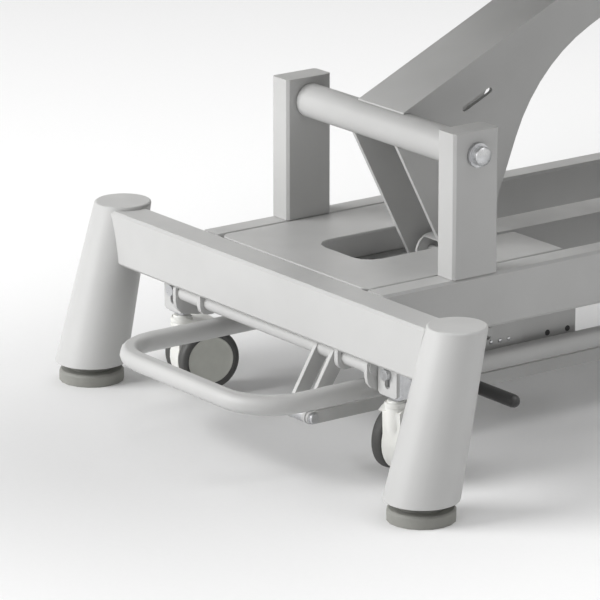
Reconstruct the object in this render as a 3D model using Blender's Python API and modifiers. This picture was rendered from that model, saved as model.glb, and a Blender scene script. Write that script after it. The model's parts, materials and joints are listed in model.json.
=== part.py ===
"""Height-adjustable treatment table: welded steel base on four leaning legs, two bell-crank lift arms,
upper frame, upholstered two-section top, castors lowered by a pedal and a foot loop round the base.

Metres, +Z up, X across the table, Y along it with the head end at -Y. The origin is on the floor, under
the middle of the table. The near end of the base is the one at -Y.
"""
import math

import bmesh
import bpy
from mathutils import Matrix, Vector

GRID = 2 ** 20             # steps in a metre that every outline and turned shape is drawn on

# Clearances
WELD_GAP = 0.0003          # between pieces that are welded or bolted to each other
RUN_GAP = 0.0003           # between a shaft and its bore
SHADOW_GAP = 0.0008        # at each end of a pivot tube

# Base frame
BASE_HALF = 0.680          # middle of the base to the outer face of a crossbeam
BEAM_TOP = 0.196
BEAM_HEIGHT = 0.060
BEAM_DEPTH = 0.040
TUBE_WALL = 0.0025
TUBE_CORNER = 0.003
RAIL_HALF_SPAN = 0.163     # middle of the base to the outer face of a side rail
RAIL_WIDTH = 0.030
RAIL_HEIGHT = 0.060

# Legs and levelling feet
LEG_X = 0.302
LEG_TOP = 0.200
LEG_BOTTOM = 0.022
LEG_TOP_RADIUS = 0.032
LEG_BOTTOM_RADIUS = 0.0405
LEG_TOP_SET_BACK = 0.029   # from the crossbeam's outer face to the leg's centre, at the top
LEG_BOTTOM_SET_BACK = -0.016
LEG_EDGE = 0.0015
FOOT_RADIUS = 0.0364
FOOT_HEIGHT = 0.0135
FOOT_NECK_RADIUS = 0.024
FOOT_STEM_RADIUS = 0.006
FOOT_STEM_LENGTH = 0.050
FOOT_TRAVEL = 0.015

# Pivot posts
POST_SET_BACK = 0.133      # from the crossbeam's outer face to the front face of a near post
POST_DEPTH = 0.060
POST_TOP = 0.3555
PIVOT_Z = 0.3297
PIVOT_SPACING = 0.650      # from the near pivot axis to the rear one
AXLE_RADIUS = 0.008
AXLE_WASHER_RADIUS = 0.0135
AXLE_WASHER = 0.004
AXLE_HEAD_RADIUS = 0.0105
AXLE_HEAD = 0.0110

# Decks
DECK_THICKNESS = 0.003
DECK_SET_BACK = BEAM_DEPTH + WELD_GAP
DECK_LENGTH = 0.2677
DECK_CORNER = 0.008
CUTOUT_HALF_WIDTH = 0.047
CUTOUT_SET_BACK = 0.104
CUTOUT_CORNER = 0.022
FAR_DECK_LENGTH = 0.300

# Lift arms, in the arm's own directions: along it and square to it
ARM_LENGTH = 0.480
ARM_REST_ANGLE = math.radians(24.6)
ARM_HALF_WIDTH = 0.040
ARM_PLATE = 0.005
ARM_TOP_OFFSET = 0.0198
ARM_LOW_OFFSET = -0.033
ARM_END_RADIUS = 0.027
PIVOT_TUBE_RADIUS = 0.019
PIVOT_TUBE_WALL = 0.003
PIVOT_BUSH_LENGTH = 0.020
CRANK_RADIUS = 0.180
CRANK_ANGLE = math.radians(-62.6)   # direction of the crank pin from the pivot, at rest
CRANK_FRONT_ANGLE = math.radians(-62.8)
CRANK_BACK_ANGLE = math.radians(69.1)
CRANK_END_RADIUS = 0.018
ARM_SLOT_START = 0.0785             # the slot is in the right side plate only
ARM_SLOT_LENGTH = 0.038
ARM_SLOT_WIDTH = 0.0062
ARM_SLOT_OFFSET = -0.022
INNER_BEND_RADIUS = 0.200

# Tie bar between the cranks
TIE_WIDTH = 0.047
TIE_END_RADIUS = 0.020
TIE_WALL = 0.003
TIE_PIN_RADIUS = 0.006
TIE_PIN_HEAD_RADIUS = 0.010
TIE_PIN_HEAD = 0.005

# Upper frame
UPPER_RAIL_BOTTOM = 0.610
UPPER_RAIL_HEIGHT = 0.050
UPPER_RAIL_HALF_LENGTH = 0.900
HANGER_DROP = 0.028        # from the upper pivot axis down to the hanger's end
CROSS_TUBE_WIDTH = 0.040
CROSS_TUBE_HEIGHT = 0.030
CROSS_TUBE_PLACES = (-0.320, 0.020, 0.350, 0.870)

# Top
TOP_HALF_WIDTH = 0.340
TOP_HALF_LENGTH = 1.000
TOP_CORNER = 0.055
BOARD_THICKNESS = 0.018
CUSHION_THICKNESS = 0.050
CUSHION_OVERHANG = 0.010
HEAD_SPLIT = -0.470        # the Y of the joint between head and main sections
SECTION_GAP = 0.006
FACE_HOLE_HALF_WIDTH = 0.050
FACE_HOLE_HALF_LENGTH = 0.105
FACE_HOLE_Y = -0.820

# Head section hinge and its clamped quadrants
HEAD_TUBE_X = 0.118
HEAD_TUBE_WIDTH = 0.020
HEAD_TUBE_HEIGHT = 0.025
HEAD_TUBE_LENGTH = 0.440
HINGE_PIN_RADIUS = 0.006
HINGE_BOSS_RADIUS = 0.0125
QUADRANT_RADIUS = 0.070
QUADRANT_BAND = 0.024
QUADRANT_PLATE = 0.005
QUADRANT_SLOT = 0.0086
HEAD_DOWN = math.radians(50)
CLAMP_BOLT_RADIUS = 0.004
CLAMP_TONGUE = 0.005
HEAD_CROSS_PLACES = (0.110, 0.220)  # from the hinge to each cross tube
RAIL_PAST_HINGE = 0.012

# Castor lift
SHAFT_RADIUS = 0.009
SHAFT_SET_BACK = {-1: 0.020, 1: 0.026}    # near, far
SHAFT_Z = 0.1252
SHAFT_END_X = 0.178
BEARING_X = 0.125
BEARING_WIDTH = 0.006
BEARING_RADIUS = 0.0135
FORK_X = (0.083, 0.1125)
LEVER_PLATE = 0.005
FORK_REACH_Y = -0.0401
FORK_REACH_Z = -0.0629
FORK_ROOT_RADIUS = 0.0098
FORK_TIP_RADIUS = 0.0077
LINK_X = 0.1178
LINK_HEIGHT = 0.014
LINK_THICKNESS = 0.004
LINK_BOLT_RADIUS = 0.005
LINK_WASHER_RADIUS = 0.0065
LINK_WASHER = 0.0008
LINK_NUT_RADIUS = 0.0056
LINK_NUT = 0.0035
LINK_SPACER_RADIUS = 0.0072
PUSH_LEVER_X = 0.174
PUSH_REACH_Y = 0.036
PUSH_REACH_Z = -0.004
PUSH_PIN_RADIUS = 0.006
CASTOR_DROP = 0.012
PEDAL_ARM_X = 0.1675
PEDAL_ARM_WIDTH = 0.0207
PEDAL_SLEEVE_X = 0.2200
PEDAL_SET_BACK = 0.120
PEDAL_Z = 0.0963
PEDAL_TIP_X = 0.289
PEDAL_ROD_RADIUS = 0.005
PEDAL_SLEEVE_RADIUS = 0.0072

# Castors
STEM_X = 0.195
STEM_OFFSET = 0.013        # from the shaft's axis to the stem, along +Y at both ends
GUIDE_OFFSET = 0.001
GUIDE_WIDTH = 0.032
GUIDE_THICKNESS = 0.004
GUIDE_BOTTOM = 0.098
CARRIER_TOP = 0.128
CARRIER_BOTTOM = 0.095
CARRIER_BOLT_Z = 0.122
CARRIER_BOLT_RADIUS = 0.004
CARRIER_BOLT_HEAD_RADIUS = 0.0065
CARRIER_BOLT_HEAD = 0.0047
CARRIER_WIDTH = 0.026
CARRIER_BEHIND_STEM = 0.0085
SHELF_BEYOND_PIN = 0.007
SHELF_THICKNESS = 0.0045
WHEEL_RADIUS = 0.035
WHEEL_LIFT = 0.008         # the wheels' height over the floor while the table stands on its feet
WHEEL_WIDTH = 0.0145
CASTOR_WIDTH = 0.054
CASTOR_TRAIL = 0.024
CASTOR_AXLE_RADIUS = 0.004
CASTOR_STEM_RADIUS = 0.005
HOOD_WIDTH = 0.0235
HOOD_BOSS_RADIUS = 0.0112
HOOD_COVER = 0.0035         # from the tyre to the hood's crown
CASTOR_TURNS = {            # degrees, each castor's swivel as it stands
    "near_left": -13,
    "near_right": 15,
    "far_left": 205,
    "far_right": 165,
}

# Foot loop
LOOP_RADIUS = 0.011
LOOP_X = 0.137
LOOP_Z = 0.0895
LOOP_OVERHANG = 0.103      # from the crossbeam's outer face out to the loop's centreline
LOOP_CORNER = 0.055
BRACKET_SET_BACK = 0.189
BRACKET_LENGTH = 0.144
BRACKET_PLATE = 0.004
BRACKET_FACE_X = 0.1245    # outer face of the plates, just inside the loop
BRACKET_BOTTOM = 0.088
BRACKET_FLANGE = 0.003
BRACKET_HOLE_RADIUS = 0.0035
BRACKET_HOLE_Z = 0.1015
BRACKET_HOLE_MARGINS = (0.039, 0.011)
HANGER_STRAP = 0.003
STRAP_START = 0.010         # from a plate's near edge to its strap
STRAP_WIDTH = 0.056
STRAP_BOLT_PLACE = 0.020
LOOP_TRAVEL = 0.006
LOOP_BOLT_RADIUS = 0.003

# Lift actuator
ACTUATOR_X = -0.088
ACTUATOR_LEVER = 0.110
ACTUATOR_LEVER_ANGLE = math.radians(58.5)    # from +Y, at rest
ACTUATOR_FOOT_SET_BACK = 0.090               # from the far crossbeam's outer face to the bracket's axis
ACTUATOR_FOOT_Z = 0.240
ACTUATOR_BODY_RADIUS = 0.024
ACTUATOR_ROD_RADIUS = 0.011
ACTUATOR_NECK_RADIUS = 0.0066
ACTUATOR_NECK_LENGTH = 0.026
ACTUATOR_EYE_RADIUS = 0.013
ACTUATOR_EYE_HALF_WIDTH = 0.0075
ACTUATOR_PIN_RADIUS = 0.005
ACTUATOR_CHEEK = 0.006
ACTUATOR_SIDE_GAP = 0.0005
MOTOR_LENGTH = 0.105
MOTOR_RADIUS = 0.021

# Control box
CONTROL_BOX_SIZE = (0.130, 0.160, 0.050)

POWDER = "light_grey_powder_coat"
ZINC = "zinc_plated_steel"
PAD_GREY = "grey_rubber"
HOOD_WHITE = "white_nylon"
TYRE_DARK = "wheel_rubber"
SLEEVE_BLACK = "pedal_rubber"
PLASTIC = "light_plastic"
PLYWOOD = "plywood"
COVER = "seat_cover"

FINISHES = {
    POWDER: ("#cbcbca", 0.45, 0.0),
    ZINC: ("#a6a8ac", 0.30, 1.0),
    PAD_GREY: ("#8c8c88", 0.60, 0.0),
    HOOD_WHITE: ("#e6e6e2", 0.40, 0.0),
    TYRE_DARK: ("#4a4a49", 0.65, 0.0),
    SLEEVE_BLACK: ("#2c2c2c", 0.55, 0.0),
    PLASTIC: ("#d9d9d6", 0.50, 0.0),
    PLYWOOD: ("#c9a878", 0.60, 0.0),
    COVER: ("#5f6b78", 0.50, 0.0),
}

NEAR, FAR = -1, 1
LEFT, RIGHT = -1, 1

# Derived places
LOW_OF_BEAM = BEAM_TOP - BEAM_HEIGHT
RAIL_MIDDLE = RAIL_HALF_SPAN - RAIL_WIDTH / 2
PIVOT_Y = -BASE_HALF + POST_SET_BACK + POST_DEPTH / 2
REAR_PIVOT_Y = PIVOT_Y + PIVOT_SPACING
ARM_REACH = Vector((math.cos(ARM_REST_ANGLE), math.sin(ARM_REST_ANGLE))) * ARM_LENGTH
CRANK_PIN = Vector((math.cos(CRANK_ANGLE), math.sin(CRANK_ANGLE))) * CRANK_RADIUS
UPPER_PIVOT_Z = PIVOT_Z + ARM_REACH.y
RAIL_INNER = RAIL_HALF_SPAN - RAIL_WIDTH
UPPER_RAIL_TOP = UPPER_RAIL_BOTTOM + UPPER_RAIL_HEIGHT
BOARD_BOTTOM = UPPER_RAIL_TOP + WELD_GAP
CUSHION_BOTTOM = BOARD_BOTTOM + BOARD_THICKNESS + WELD_GAP
HINGE_Z = UPPER_RAIL_TOP - HEAD_TUBE_HEIGHT / 2
HINGE_Y = HEAD_SPLIT
AXLE_HEIGHT = WHEEL_LIFT + WHEEL_RADIUS


def set_back(end, distance):
    """The Y that lies this far inside the outer face of the crossbeam at one end of the base."""
    return end * (BASE_HALF - distance)


# Scene, collections and materials

def clear_scene():
    for thing in list(bpy.data.objects):
        bpy.data.objects.remove(thing, do_unlink=True)


def new_collection(name):
    collection = bpy.data.collections.new(name)
    bpy.context.scene.collection.children.link(collection)
    return collection


def linear(channel):
    return channel / 12.92 if channel <= 0.04045 else ((channel + 0.055) / 1.055) ** 2.4


def make_material(name):
    code, roughness, metallic = FINISHES[name]
    colour = [linear(int(code[k:k + 2], 16) / 255) for k in (1, 3, 5)]
    material = bpy.data.materials.new(name)
    material.use_nodes = True
    shader = material.node_tree.nodes["Principled BSDF"]
    shader.inputs["Base Color"].default_value = (*colour, 1)
    shader.inputs["Roughness"].default_value = roughness
    shader.inputs["Metallic"].default_value = metallic
    material.diffuse_color = (*colour, 1)
    return material


clear_scene()
PARTS = new_collection("treatment_table")
CUTTERS = new_collection("cutters")


def finish(obj, name, material, smooth_below=35):
    """Give a mesh object its name, its own material and smooth round faces."""
    obj.name = name
    obj.data.name = name
    obj.data.materials.clear()
    own = make_material(material)
    own.name = name + "_" + material
    obj.data.materials.append(own)
    obj.data.shade_smooth()
    obj.data.set_sharp_from_angle(angle=math.radians(smooth_below))
    return obj


def object_from(mesh, name="piece"):
    obj = bpy.data.objects.new(name, mesh)
    PARTS.objects.link(obj)
    return obj


# Outlines

def arc(centre, radius, start, end, steps):
    """Points of an arc, angles in radians."""
    return [
        Vector((centre[0] + radius * math.cos(start + (end - start) * k / steps),
                centre[1] + radius * math.sin(start + (end - start) * k / steps)))
        for k in range(steps + 1)
    ]


def circle(centre, radius, steps=16):
    return arc(centre, radius, 0, 2 * math.pi, steps)[:-1]


def rounded(corners, steps=3):
    """A closed outline through corners (u, v, radius), each corner of some radius made an arc."""
    outline = []
    count = len(corners)
    for k, (u, v, radius) in enumerate(corners):
        here = Vector((u, v))
        before = Vector(corners[k - 1][:2]) - here
        after = Vector(corners[(k + 1) % count][:2]) - here
        if radius <= 0:
            outline.append(here)
            continue
        before.normalize()
        after.normalize()
        half = before.angle(after) / 2
        reach = radius / math.tan(half)
        centre = here + (before + after).normalized() * (radius / math.sin(half))
        first = here + before * reach - centre
        last = here + after * reach - centre
        start = math.atan2(first.y, first.x)
        turn = (math.atan2(last.y, last.x) - start + math.pi) % (2 * math.pi) - math.pi
        outline += arc(centre, radius, start, start + turn, steps)
    return outline


def rectangle(low, high, radius=0.0, steps=1):
    (u0, v0), (u1, v1) = low, high
    return rounded([(u0, v0, radius), (u1, v0, radius), (u1, v1, radius), (u0, v1, radius)], steps)


def tapered(start, end, start_radius, end_radius, steps=4):
    """A round-ended outline between two centres, of one radius at the start and another at the end."""
    start, end = Vector(start), Vector(end)
    run = end - start
    heading = math.atan2(run.y, run.x)
    quarter = math.acos((start_radius - end_radius) / run.length)
    far = arc(end, end_radius, heading - quarter, heading + quarter, steps)
    return far + arc(start, start_radius, heading + quarter, heading + 2 * math.pi - quarter, steps)


def slot(start, end, width, steps=4):
    """A round-ended slot between two centres."""
    return tapered(start, end, width / 2, width / 2, steps)


# Solids

PLANES = {
    "X": Matrix(((0, 0, 1, 0), (1, 0, 0, 0), (0, 1, 0, 0), (0, 0, 0, 1))),
    "Y": Matrix(((1, 0, 0, 0), (0, 0, -1, 0), (0, 1, 0, 0), (0, 0, 0, 1))),
    "Z": Matrix.Identity(4),
}


def extruded(loops, normal, low, high):
    """A flat outline with its holes, filled and extruded between two places on the axis normal to it.

    The outline's (u, v) are world (Y, Z) for normal X, (X, Z) for normal Y and (X, Y) for normal Z.
    """
    curve = bpy.data.curves.new("outline", "CURVE")
    curve.dimensions = "2D"
    curve.fill_mode = "BOTH"
    curve.extrude = (high - low) / 2
    for loop in loops:
        spline = curve.splines.new("POLY")
        spline.points.add(len(loop) - 1)
        for point, place in zip(spline.points, loop):
            point.co = (place[0], place[1], 0, 1)
        spline.use_cyclic_u = True
    guide = bpy.data.objects.new("outline", curve)
    bpy.context.scene.collection.objects.link(guide)
    bpy.context.view_layer.update()
    mesh = bpy.data.meshes.new_from_object(guide.evaluated_get(bpy.context.evaluated_depsgraph_get()))
    bpy.data.objects.remove(guide, do_unlink=True)
    bpy.data.curves.remove(curve)
    middle = (low + high) / 2
    shift = {"X": (middle, 0, 0), "Y": (0, middle, 0), "Z": (0, 0, middle)}[normal]
    mesh.transform(Matrix.Translation(shift) @ PLANES[normal])
    weld(mesh, steps_per_metre=GRID)
    return object_from(mesh)


def weld(mesh, distance=0.00001, steps_per_metre=None):
    """Join vertices that meet; with steps given, first move each onto a fine grid so flat faces are exact."""
    shape = bmesh.new()
    shape.from_mesh(mesh)
    if steps_per_metre:
        for vert in shape.verts:
            vert.co = [round(c * steps_per_metre) / steps_per_metre for c in vert.co]
    bmesh.ops.remove_doubles(shape, verts=shape.verts, dist=distance)
    bmesh.ops.recalc_face_normals(shape, faces=shape.faces)
    shape.to_mesh(mesh)
    shape.free()


def turned(profile, start, axis, steps=20):
    """A turned solid: profile points (radius, distance along the axis), turned about the axis.

    The profile runs along the axis from start; it is closed onto itself where it never meets the axis.
    """
    mesh = bpy.data.meshes.new("profile")
    touches_axis = min(r for r, _ in profile) < 1e-6
    points = [(r, 0, d) for r, d in profile]
    edges = [(k, k + 1) for k in range(len(points) - 1)]
    if not touches_axis:
        edges.append((len(points) - 1, 0))
    mesh.from_pydata(points, edges, [])
    obj = object_from(mesh)
    screw = obj.modifiers.new("turn", "SCREW")
    screw.axis = "Z"
    screw.angle = 2 * math.pi
    screw.steps = steps
    screw.render_steps = steps
    screw.use_merge_vertices = True
    screw.merge_threshold = 0.00001
    apply_modifiers(obj)
    turn = Vector((0, 0, 1)).rotation_difference(Vector(axis)).to_matrix().to_4x4()
    obj.data.transform(Matrix.Translation(start) @ turn)
    weld(obj.data, steps_per_metre=GRID)
    return obj


def rod(start, end, radius, steps=16):
    length = (Vector(end) - Vector(start)).length
    profile = [(0, length), (radius, length), (radius, 0), (0, 0)]
    return turned(profile, start, Vector(end) - Vector(start), steps)


def ring(start, end, outer, inner, steps=16):
    length = (Vector(end) - Vector(start)).length
    profile = [(outer, length), (outer, 0), (inner, 0), (inner, length)]
    return turned(profile, start, Vector(end) - Vector(start), steps)


def box(low, high, bevel=0.0, segments=2):
    shape = bmesh.new()
    size = Vector(high) - Vector(low)
    centre = (Vector(high) + Vector(low)) / 2
    bmesh.ops.create_cube(shape, size=1, matrix=Matrix.Translation(centre) @ Matrix.Diagonal((*size, 1)))
    mesh = bpy.data.meshes.new("box")
    shape.to_mesh(mesh)
    shape.free()
    obj = object_from(mesh)
    if bevel:
        edge = obj.modifiers.new("edges", "BEVEL")
        edge.width = bevel
        edge.segments = segments
        apply_modifiers(obj)
    return obj


def apply_modifiers(obj):
    bpy.context.view_layer.update()
    mesh = bpy.data.meshes.new_from_object(obj.evaluated_get(bpy.context.evaluated_depsgraph_get()))
    obj.modifiers.clear()
    obj.data = mesh


def combine(obj, others, operation):
    """Cut the others out of a piece, or weld them onto it, one after another."""
    for k, other in enumerate(others):
        modifier = obj.modifiers.new(operation.lower() + str(k), "BOOLEAN")
        modifier.operation = operation
        modifier.solver = "EXACT"
        modifier.object = other
    apply_modifiers(obj)
    for other in others:
        if operation == "UNION":
            bpy.data.objects.remove(other, do_unlink=True)
        else:
            PARTS.objects.unlink(other)
            CUTTERS.objects.link(other)
            other.name = "cutter"
            other.hide_render = True
            other.display_type = "WIRE"
    weld(obj.data, 0.000005)
    return obj


def cut(obj, *cutters):
    return combine(obj, cutters, "DIFFERENCE")


def weld_on(obj, *others):
    return combine(obj, others, "UNION")


def turned_about(obj, axis, angle, centre):
    place = Matrix.Translation(centre) @ Matrix.Rotation(angle, 4, axis) @ Matrix.Translation(-Vector(centre))
    obj.data.transform(place)
    return obj


def rect_tube(normal, low, high, centre, width, height, corner=TUBE_CORNER):
    """A rectangular steel tube, open at both ends. Width and height are along the section's u and v."""
    half = Vector((width / 2, height / 2))
    inner = half - Vector((TUBE_WALL, TUBE_WALL))
    centre = Vector(centre)
    outer_loop = rectangle(centre - half, centre + half, corner)
    inner_loop = rectangle(centre - inner, centre + inner)
    return extruded([outer_loop, inner_loop], normal, low, high)


# Base frame

def leg_solid(end, side, grow=0.0):
    """A leg as a cone sheared along Y, so that its flat ends stay level."""
    height = LEG_TOP - LEG_BOTTOM
    shape = bmesh.new()
    bmesh.ops.create_cone(shape, cap_ends=True, segments=28, radius1=LEG_BOTTOM_RADIUS + grow,
                          radius2=LEG_TOP_RADIUS + grow, depth=height)
    top_edges = [e for e in shape.edges if all(v.co.z > 0 for v in e.verts)]
    if not grow:
        bmesh.ops.bevel(shape, geom=top_edges, offset=LEG_EDGE, segments=1, affect="EDGES", profile=0.5)
    for vert in shape.verts:
        share = vert.co.z / height + 0.5
        back = LEG_BOTTOM_SET_BACK + (LEG_TOP_SET_BACK - LEG_BOTTOM_SET_BACK) * share
        vert.co = Vector((vert.co.x + side * LEG_X, vert.co.y + set_back(end, back),
                          vert.co.z + height / 2 + LEG_BOTTOM))
    mesh = bpy.data.meshes.new("leg")
    shape.to_mesh(mesh)
    shape.free()
    return object_from(mesh)


def foot_centre(end, side):
    return Vector((side * LEG_X, set_back(end, LEG_BOTTOM_SET_BACK), 0))


def make_legs():
    for end, end_name in ((NEAR, "near"), (FAR, "far")):
        for side, side_name in ((LEFT, "left"), (RIGHT, "right")):
            place = foot_centre(end, side)
            socket_foot = place + Vector((0, 0, LEG_BOTTOM - 0.010))
            socket_head = place + Vector((0, 0, LEG_BOTTOM + FOOT_STEM_LENGTH + 0.004))
            socket = rod(socket_foot, socket_head, FOOT_STEM_RADIUS + RUN_GAP, 18)
            leg = cut(leg_solid(end, side), socket)
            finish(leg, "leg_%s_%s" % (end_name, side_name), POWDER)
            edge = 0.002
            neck_top = LEG_BOTTOM - WELD_GAP
            stem_top = neck_top + FOOT_STEM_LENGTH
            profile = [(0, stem_top), (FOOT_STEM_RADIUS, stem_top), (FOOT_STEM_RADIUS, neck_top),
                       (FOOT_NECK_RADIUS, neck_top), (FOOT_NECK_RADIUS, FOOT_HEIGHT),
                       (FOOT_RADIUS - edge, FOOT_HEIGHT), (FOOT_RADIUS, FOOT_HEIGHT - edge), (FOOT_RADIUS, 0),
                       (0, 0)]
            finish(turned(profile, place, (0, 0, 1), 18), "foot_%s_%s" % (end_name, side_name), PAD_GREY)


def make_crossbeams():
    """Crossbeams of rectangular tube between the legs, with the castor shafts' bearings and guides."""
    for end, name in ((NEAR, "near_crossbeam"), (FAR, "far_crossbeam")):
        centre = (set_back(end, BEAM_DEPTH / 2), BEAM_TOP - BEAM_HEIGHT / 2)
        beam = rect_tube("X", -LEG_X, LEG_X, centre, BEAM_DEPTH, BEAM_HEIGHT)
        cut(beam, leg_solid(end, LEFT, WELD_GAP), leg_solid(end, RIGHT, WELD_GAP))
        weld_on(beam, *shaft_bearings(end), *castor_guides(end))
        finish(beam, name, POWDER)


def make_side_rails():
    """A rail of rectangular tube with the two plates under it that carry the foot loop."""
    reach = BASE_HALF - BEAM_DEPTH - WELD_GAP
    centre_z = BEAM_TOP - RAIL_HEIGHT / 2
    for side, name in ((LEFT, "left_side_rail"), (RIGHT, "right_side_rail")):
        rail = rect_tube("Y", -reach, reach, (side * RAIL_MIDDLE, centre_z), RAIL_WIDTH, RAIL_HEIGHT)
        weld_on(rail, *loop_brackets(side))
        finish(rail, name, POWDER)


def post(side, centre_y):
    """A post of rectangular tube with a closed top, bored for the axle."""
    x = side * RAIL_MIDDLE
    half = Vector((RAIL_WIDTH / 2, POST_DEPTH / 2))
    middle = Vector((x, centre_y))
    outer = extruded([rectangle(middle - half, middle + half, TUBE_CORNER)], "Z", BEAM_TOP + WELD_GAP,
                     POST_TOP)
    inner = half - Vector((TUBE_WALL, TUBE_WALL))
    hollow = extruded([rectangle(middle - inner, middle + inner)], "Z", BEAM_TOP - 0.01, POST_TOP - TUBE_WALL)
    bore = rod((x - RAIL_WIDTH, centre_y, PIVOT_Z), (x + RAIL_WIDTH, centre_y, PIVOT_Z),
               AXLE_RADIUS + RUN_GAP, 14)
    return cut(outer, hollow, bore)


def make_posts():
    for end_name, centre_y in (("near", PIVOT_Y), ("rear", REAR_PIVOT_Y)):
        for side, side_name in ((LEFT, "left"), (RIGHT, "right")):
            finish(post(side, centre_y), "%s_%s_post" % (end_name, side_name), POWDER)


def axle(centre_y, centre_z):
    """A pivot axle through both posts, with a washer and a low domed head at each end."""
    face = RAIL_HALF_SPAN + WELD_GAP
    washer = face + AXLE_WASHER
    crown = washer + AXLE_HEAD
    half = [(0, crown), (AXLE_HEAD_RADIUS * 0.7, crown - 0.0012), (AXLE_HEAD_RADIUS, crown - 0.004),
            (AXLE_HEAD_RADIUS, washer), (AXLE_WASHER_RADIUS, washer), (AXLE_WASHER_RADIUS,
                                                                       face), (AXLE_RADIUS, face)]
    profile = half + [(r, -d) for r, d in reversed(half)]
    return turned(profile, (0, centre_y, centre_z), (1, 0, 0), 14)


def make_axles():
    for name, y in (("near", PIVOT_Y), ("rear", REAR_PIVOT_Y)):
        finish(axle(y, PIVOT_Z), name + "_pivot_axle", ZINC)
        finish(axle(y + ARM_REACH.x, UPPER_PIVOT_Z), name + "_upper_axle", ZINC)


def make_decks():
    edge = RAIL_INNER - SHADOW_GAP
    front, back = set_back(NEAR, DECK_SET_BACK), set_back(NEAR, DECK_SET_BACK + DECK_LENGTH)
    mouth = set_back(NEAR, CUTOUT_SET_BACK)
    outline = rounded([
        (-edge + DECK_CORNER, front, 0), (edge - DECK_CORNER, front, 0), (edge, front + DECK_CORNER, 0),
        (edge, back, 0), (CUTOUT_HALF_WIDTH, back, 0.004), (CUTOUT_HALF_WIDTH, mouth, CUTOUT_CORNER),
        (-CUTOUT_HALF_WIDTH, mouth, CUTOUT_CORNER), (-CUTOUT_HALF_WIDTH, back, 0.004), (-edge, back, 0),
        (-edge, front + DECK_CORNER, 0)])
    finish(extruded([outline], "Z", BEAM_TOP - DECK_THICKNESS, BEAM_TOP), "near_deck", POWDER)
    front, back = set_back(FAR, DECK_SET_BACK), set_back(FAR, DECK_SET_BACK + FAR_DECK_LENGTH)
    outline = rounded([(-edge, back, 0), (edge, back, 0), (edge, front - DECK_CORNER, 0),
                       (edge - DECK_CORNER, front, 0), (-edge + DECK_CORNER, front, 0),
                       (-edge, front - DECK_CORNER, 0)])
    deck = extruded([outline], "Z", BEAM_TOP - DECK_THICKNESS, BEAM_TOP)
    finish(weld_on(deck, *actuator_foot_plates()), "far_deck", POWDER)


# Lift arms

def arm_point(along, square):
    """A point given along the arm and square to it, as (Y, Z) from the pivot at rest."""
    c, s = math.cos(ARM_REST_ANGLE), math.sin(ARM_REST_ANGLE)
    return Vector((along * c - square * s, along * s + square * c))


def meet(first, first_heading, second, second_heading):
    """Where two lines meet, each given by a point and a heading."""
    d = Vector((math.cos(first_heading), math.sin(first_heading)))
    e = Vector((math.cos(second_heading), math.sin(second_heading)))
    gap = Vector(second) - Vector(first)
    t = (gap.x * e.y - gap.y * e.x) / (d.x * e.y - d.y * e.x)
    return Vector(first) + d * t


def arm_outline():
    """The bell crank's side: a web line on top, a crank hanging from it and a wide bend between them."""
    left_of = Vector((-math.sin(CRANK_FRONT_ANGLE), math.cos(CRANK_FRONT_ANGLE)))
    front = CRANK_PIN - left_of * CRANK_END_RADIUS
    right_of = Vector((math.sin(CRANK_BACK_ANGLE), -math.cos(CRANK_BACK_ANGLE)))
    back = CRANK_PIN + right_of * CRANK_END_RADIUS
    tip = meet(front, CRANK_FRONT_ANGLE, back, CRANK_BACK_ANGLE)
    low_line = arm_point(0.200, ARM_LOW_OFFSET)
    low_end = arm_point(ARM_LENGTH, -ARM_END_RADIUS)
    low_heading = math.atan2((low_end - low_line).y, (low_end - low_line).x)
    bend = meet(back, CRANK_BACK_ANGLE, low_line, low_heading)
    neck = meet(front, CRANK_FRONT_ANGLE, arm_point(0, 0), ARM_REST_ANGLE)
    corners = [
        (*neck, 0),
        (*tip, CRANK_END_RADIUS),
        (*bend, INNER_BEND_RADIUS),
        (*arm_point(ARM_LENGTH + ARM_END_RADIUS, -ARM_END_RADIUS - 0.002), ARM_END_RADIUS * 0.92),
        (*arm_point(ARM_LENGTH + ARM_END_RADIUS, ARM_END_RADIUS), ARM_END_RADIUS * 0.92),
        (*arm_point(ARM_LENGTH - 0.060, ARM_TOP_OFFSET), 0.100),
        (*arm_point(0.006, ARM_TOP_OFFSET), 0),
    ]
    return rounded(corners, 7)


def lift_arm(pivot_y):
    """Two side plates joined by a web on top: the full outline, hollowed from below."""
    base = Vector((pivot_y, PIVOT_Z))
    pin = base + CRANK_PIN
    upper = base + ARM_REACH
    slot_ends = [base + arm_point(a, ARM_SLOT_OFFSET) for a in (ARM_SLOT_START,
                                                                ARM_SLOT_START + ARM_SLOT_LENGTH)]
    holes = [circle(pin, TIE_PIN_RADIUS + RUN_GAP, 14), circle(upper, PIVOT_TUBE_RADIUS + WELD_GAP, 24)]
    outline = [p + base for p in arm_outline()]
    body = extruded([outline] + holes, "X", -ARM_HALF_WIDTH, ARM_HALF_WIDTH)
    under = ARM_TOP_OFFSET - ARM_PLATE
    hollow = [base + arm_point(a, b) for a, b in (
        (-0.100, under), (ARM_LENGTH - 0.062, under), (ARM_LENGTH + 0.006, ARM_END_RADIUS - ARM_PLATE),
        (ARM_LENGTH + 0.100, ARM_END_RADIUS - ARM_PLATE), (ARM_LENGTH + 0.100, -0.300), (-0.100, -0.300))]
    inner = ARM_HALF_WIDTH - ARM_PLATE
    channel = extruded([hollow], "X", -inner, inner)
    past_plate = ARM_HALF_WIDTH + 0.01
    notch = rod((-past_plate, pivot_y, PIVOT_Z), (past_plate, pivot_y, PIVOT_Z),
                PIVOT_TUBE_RADIUS + WELD_GAP, 24)
    side_slot = extruded([slot(*slot_ends, ARM_SLOT_WIDTH)], "X", 0, past_plate)
    return cut(body, channel, notch, side_slot)


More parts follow.
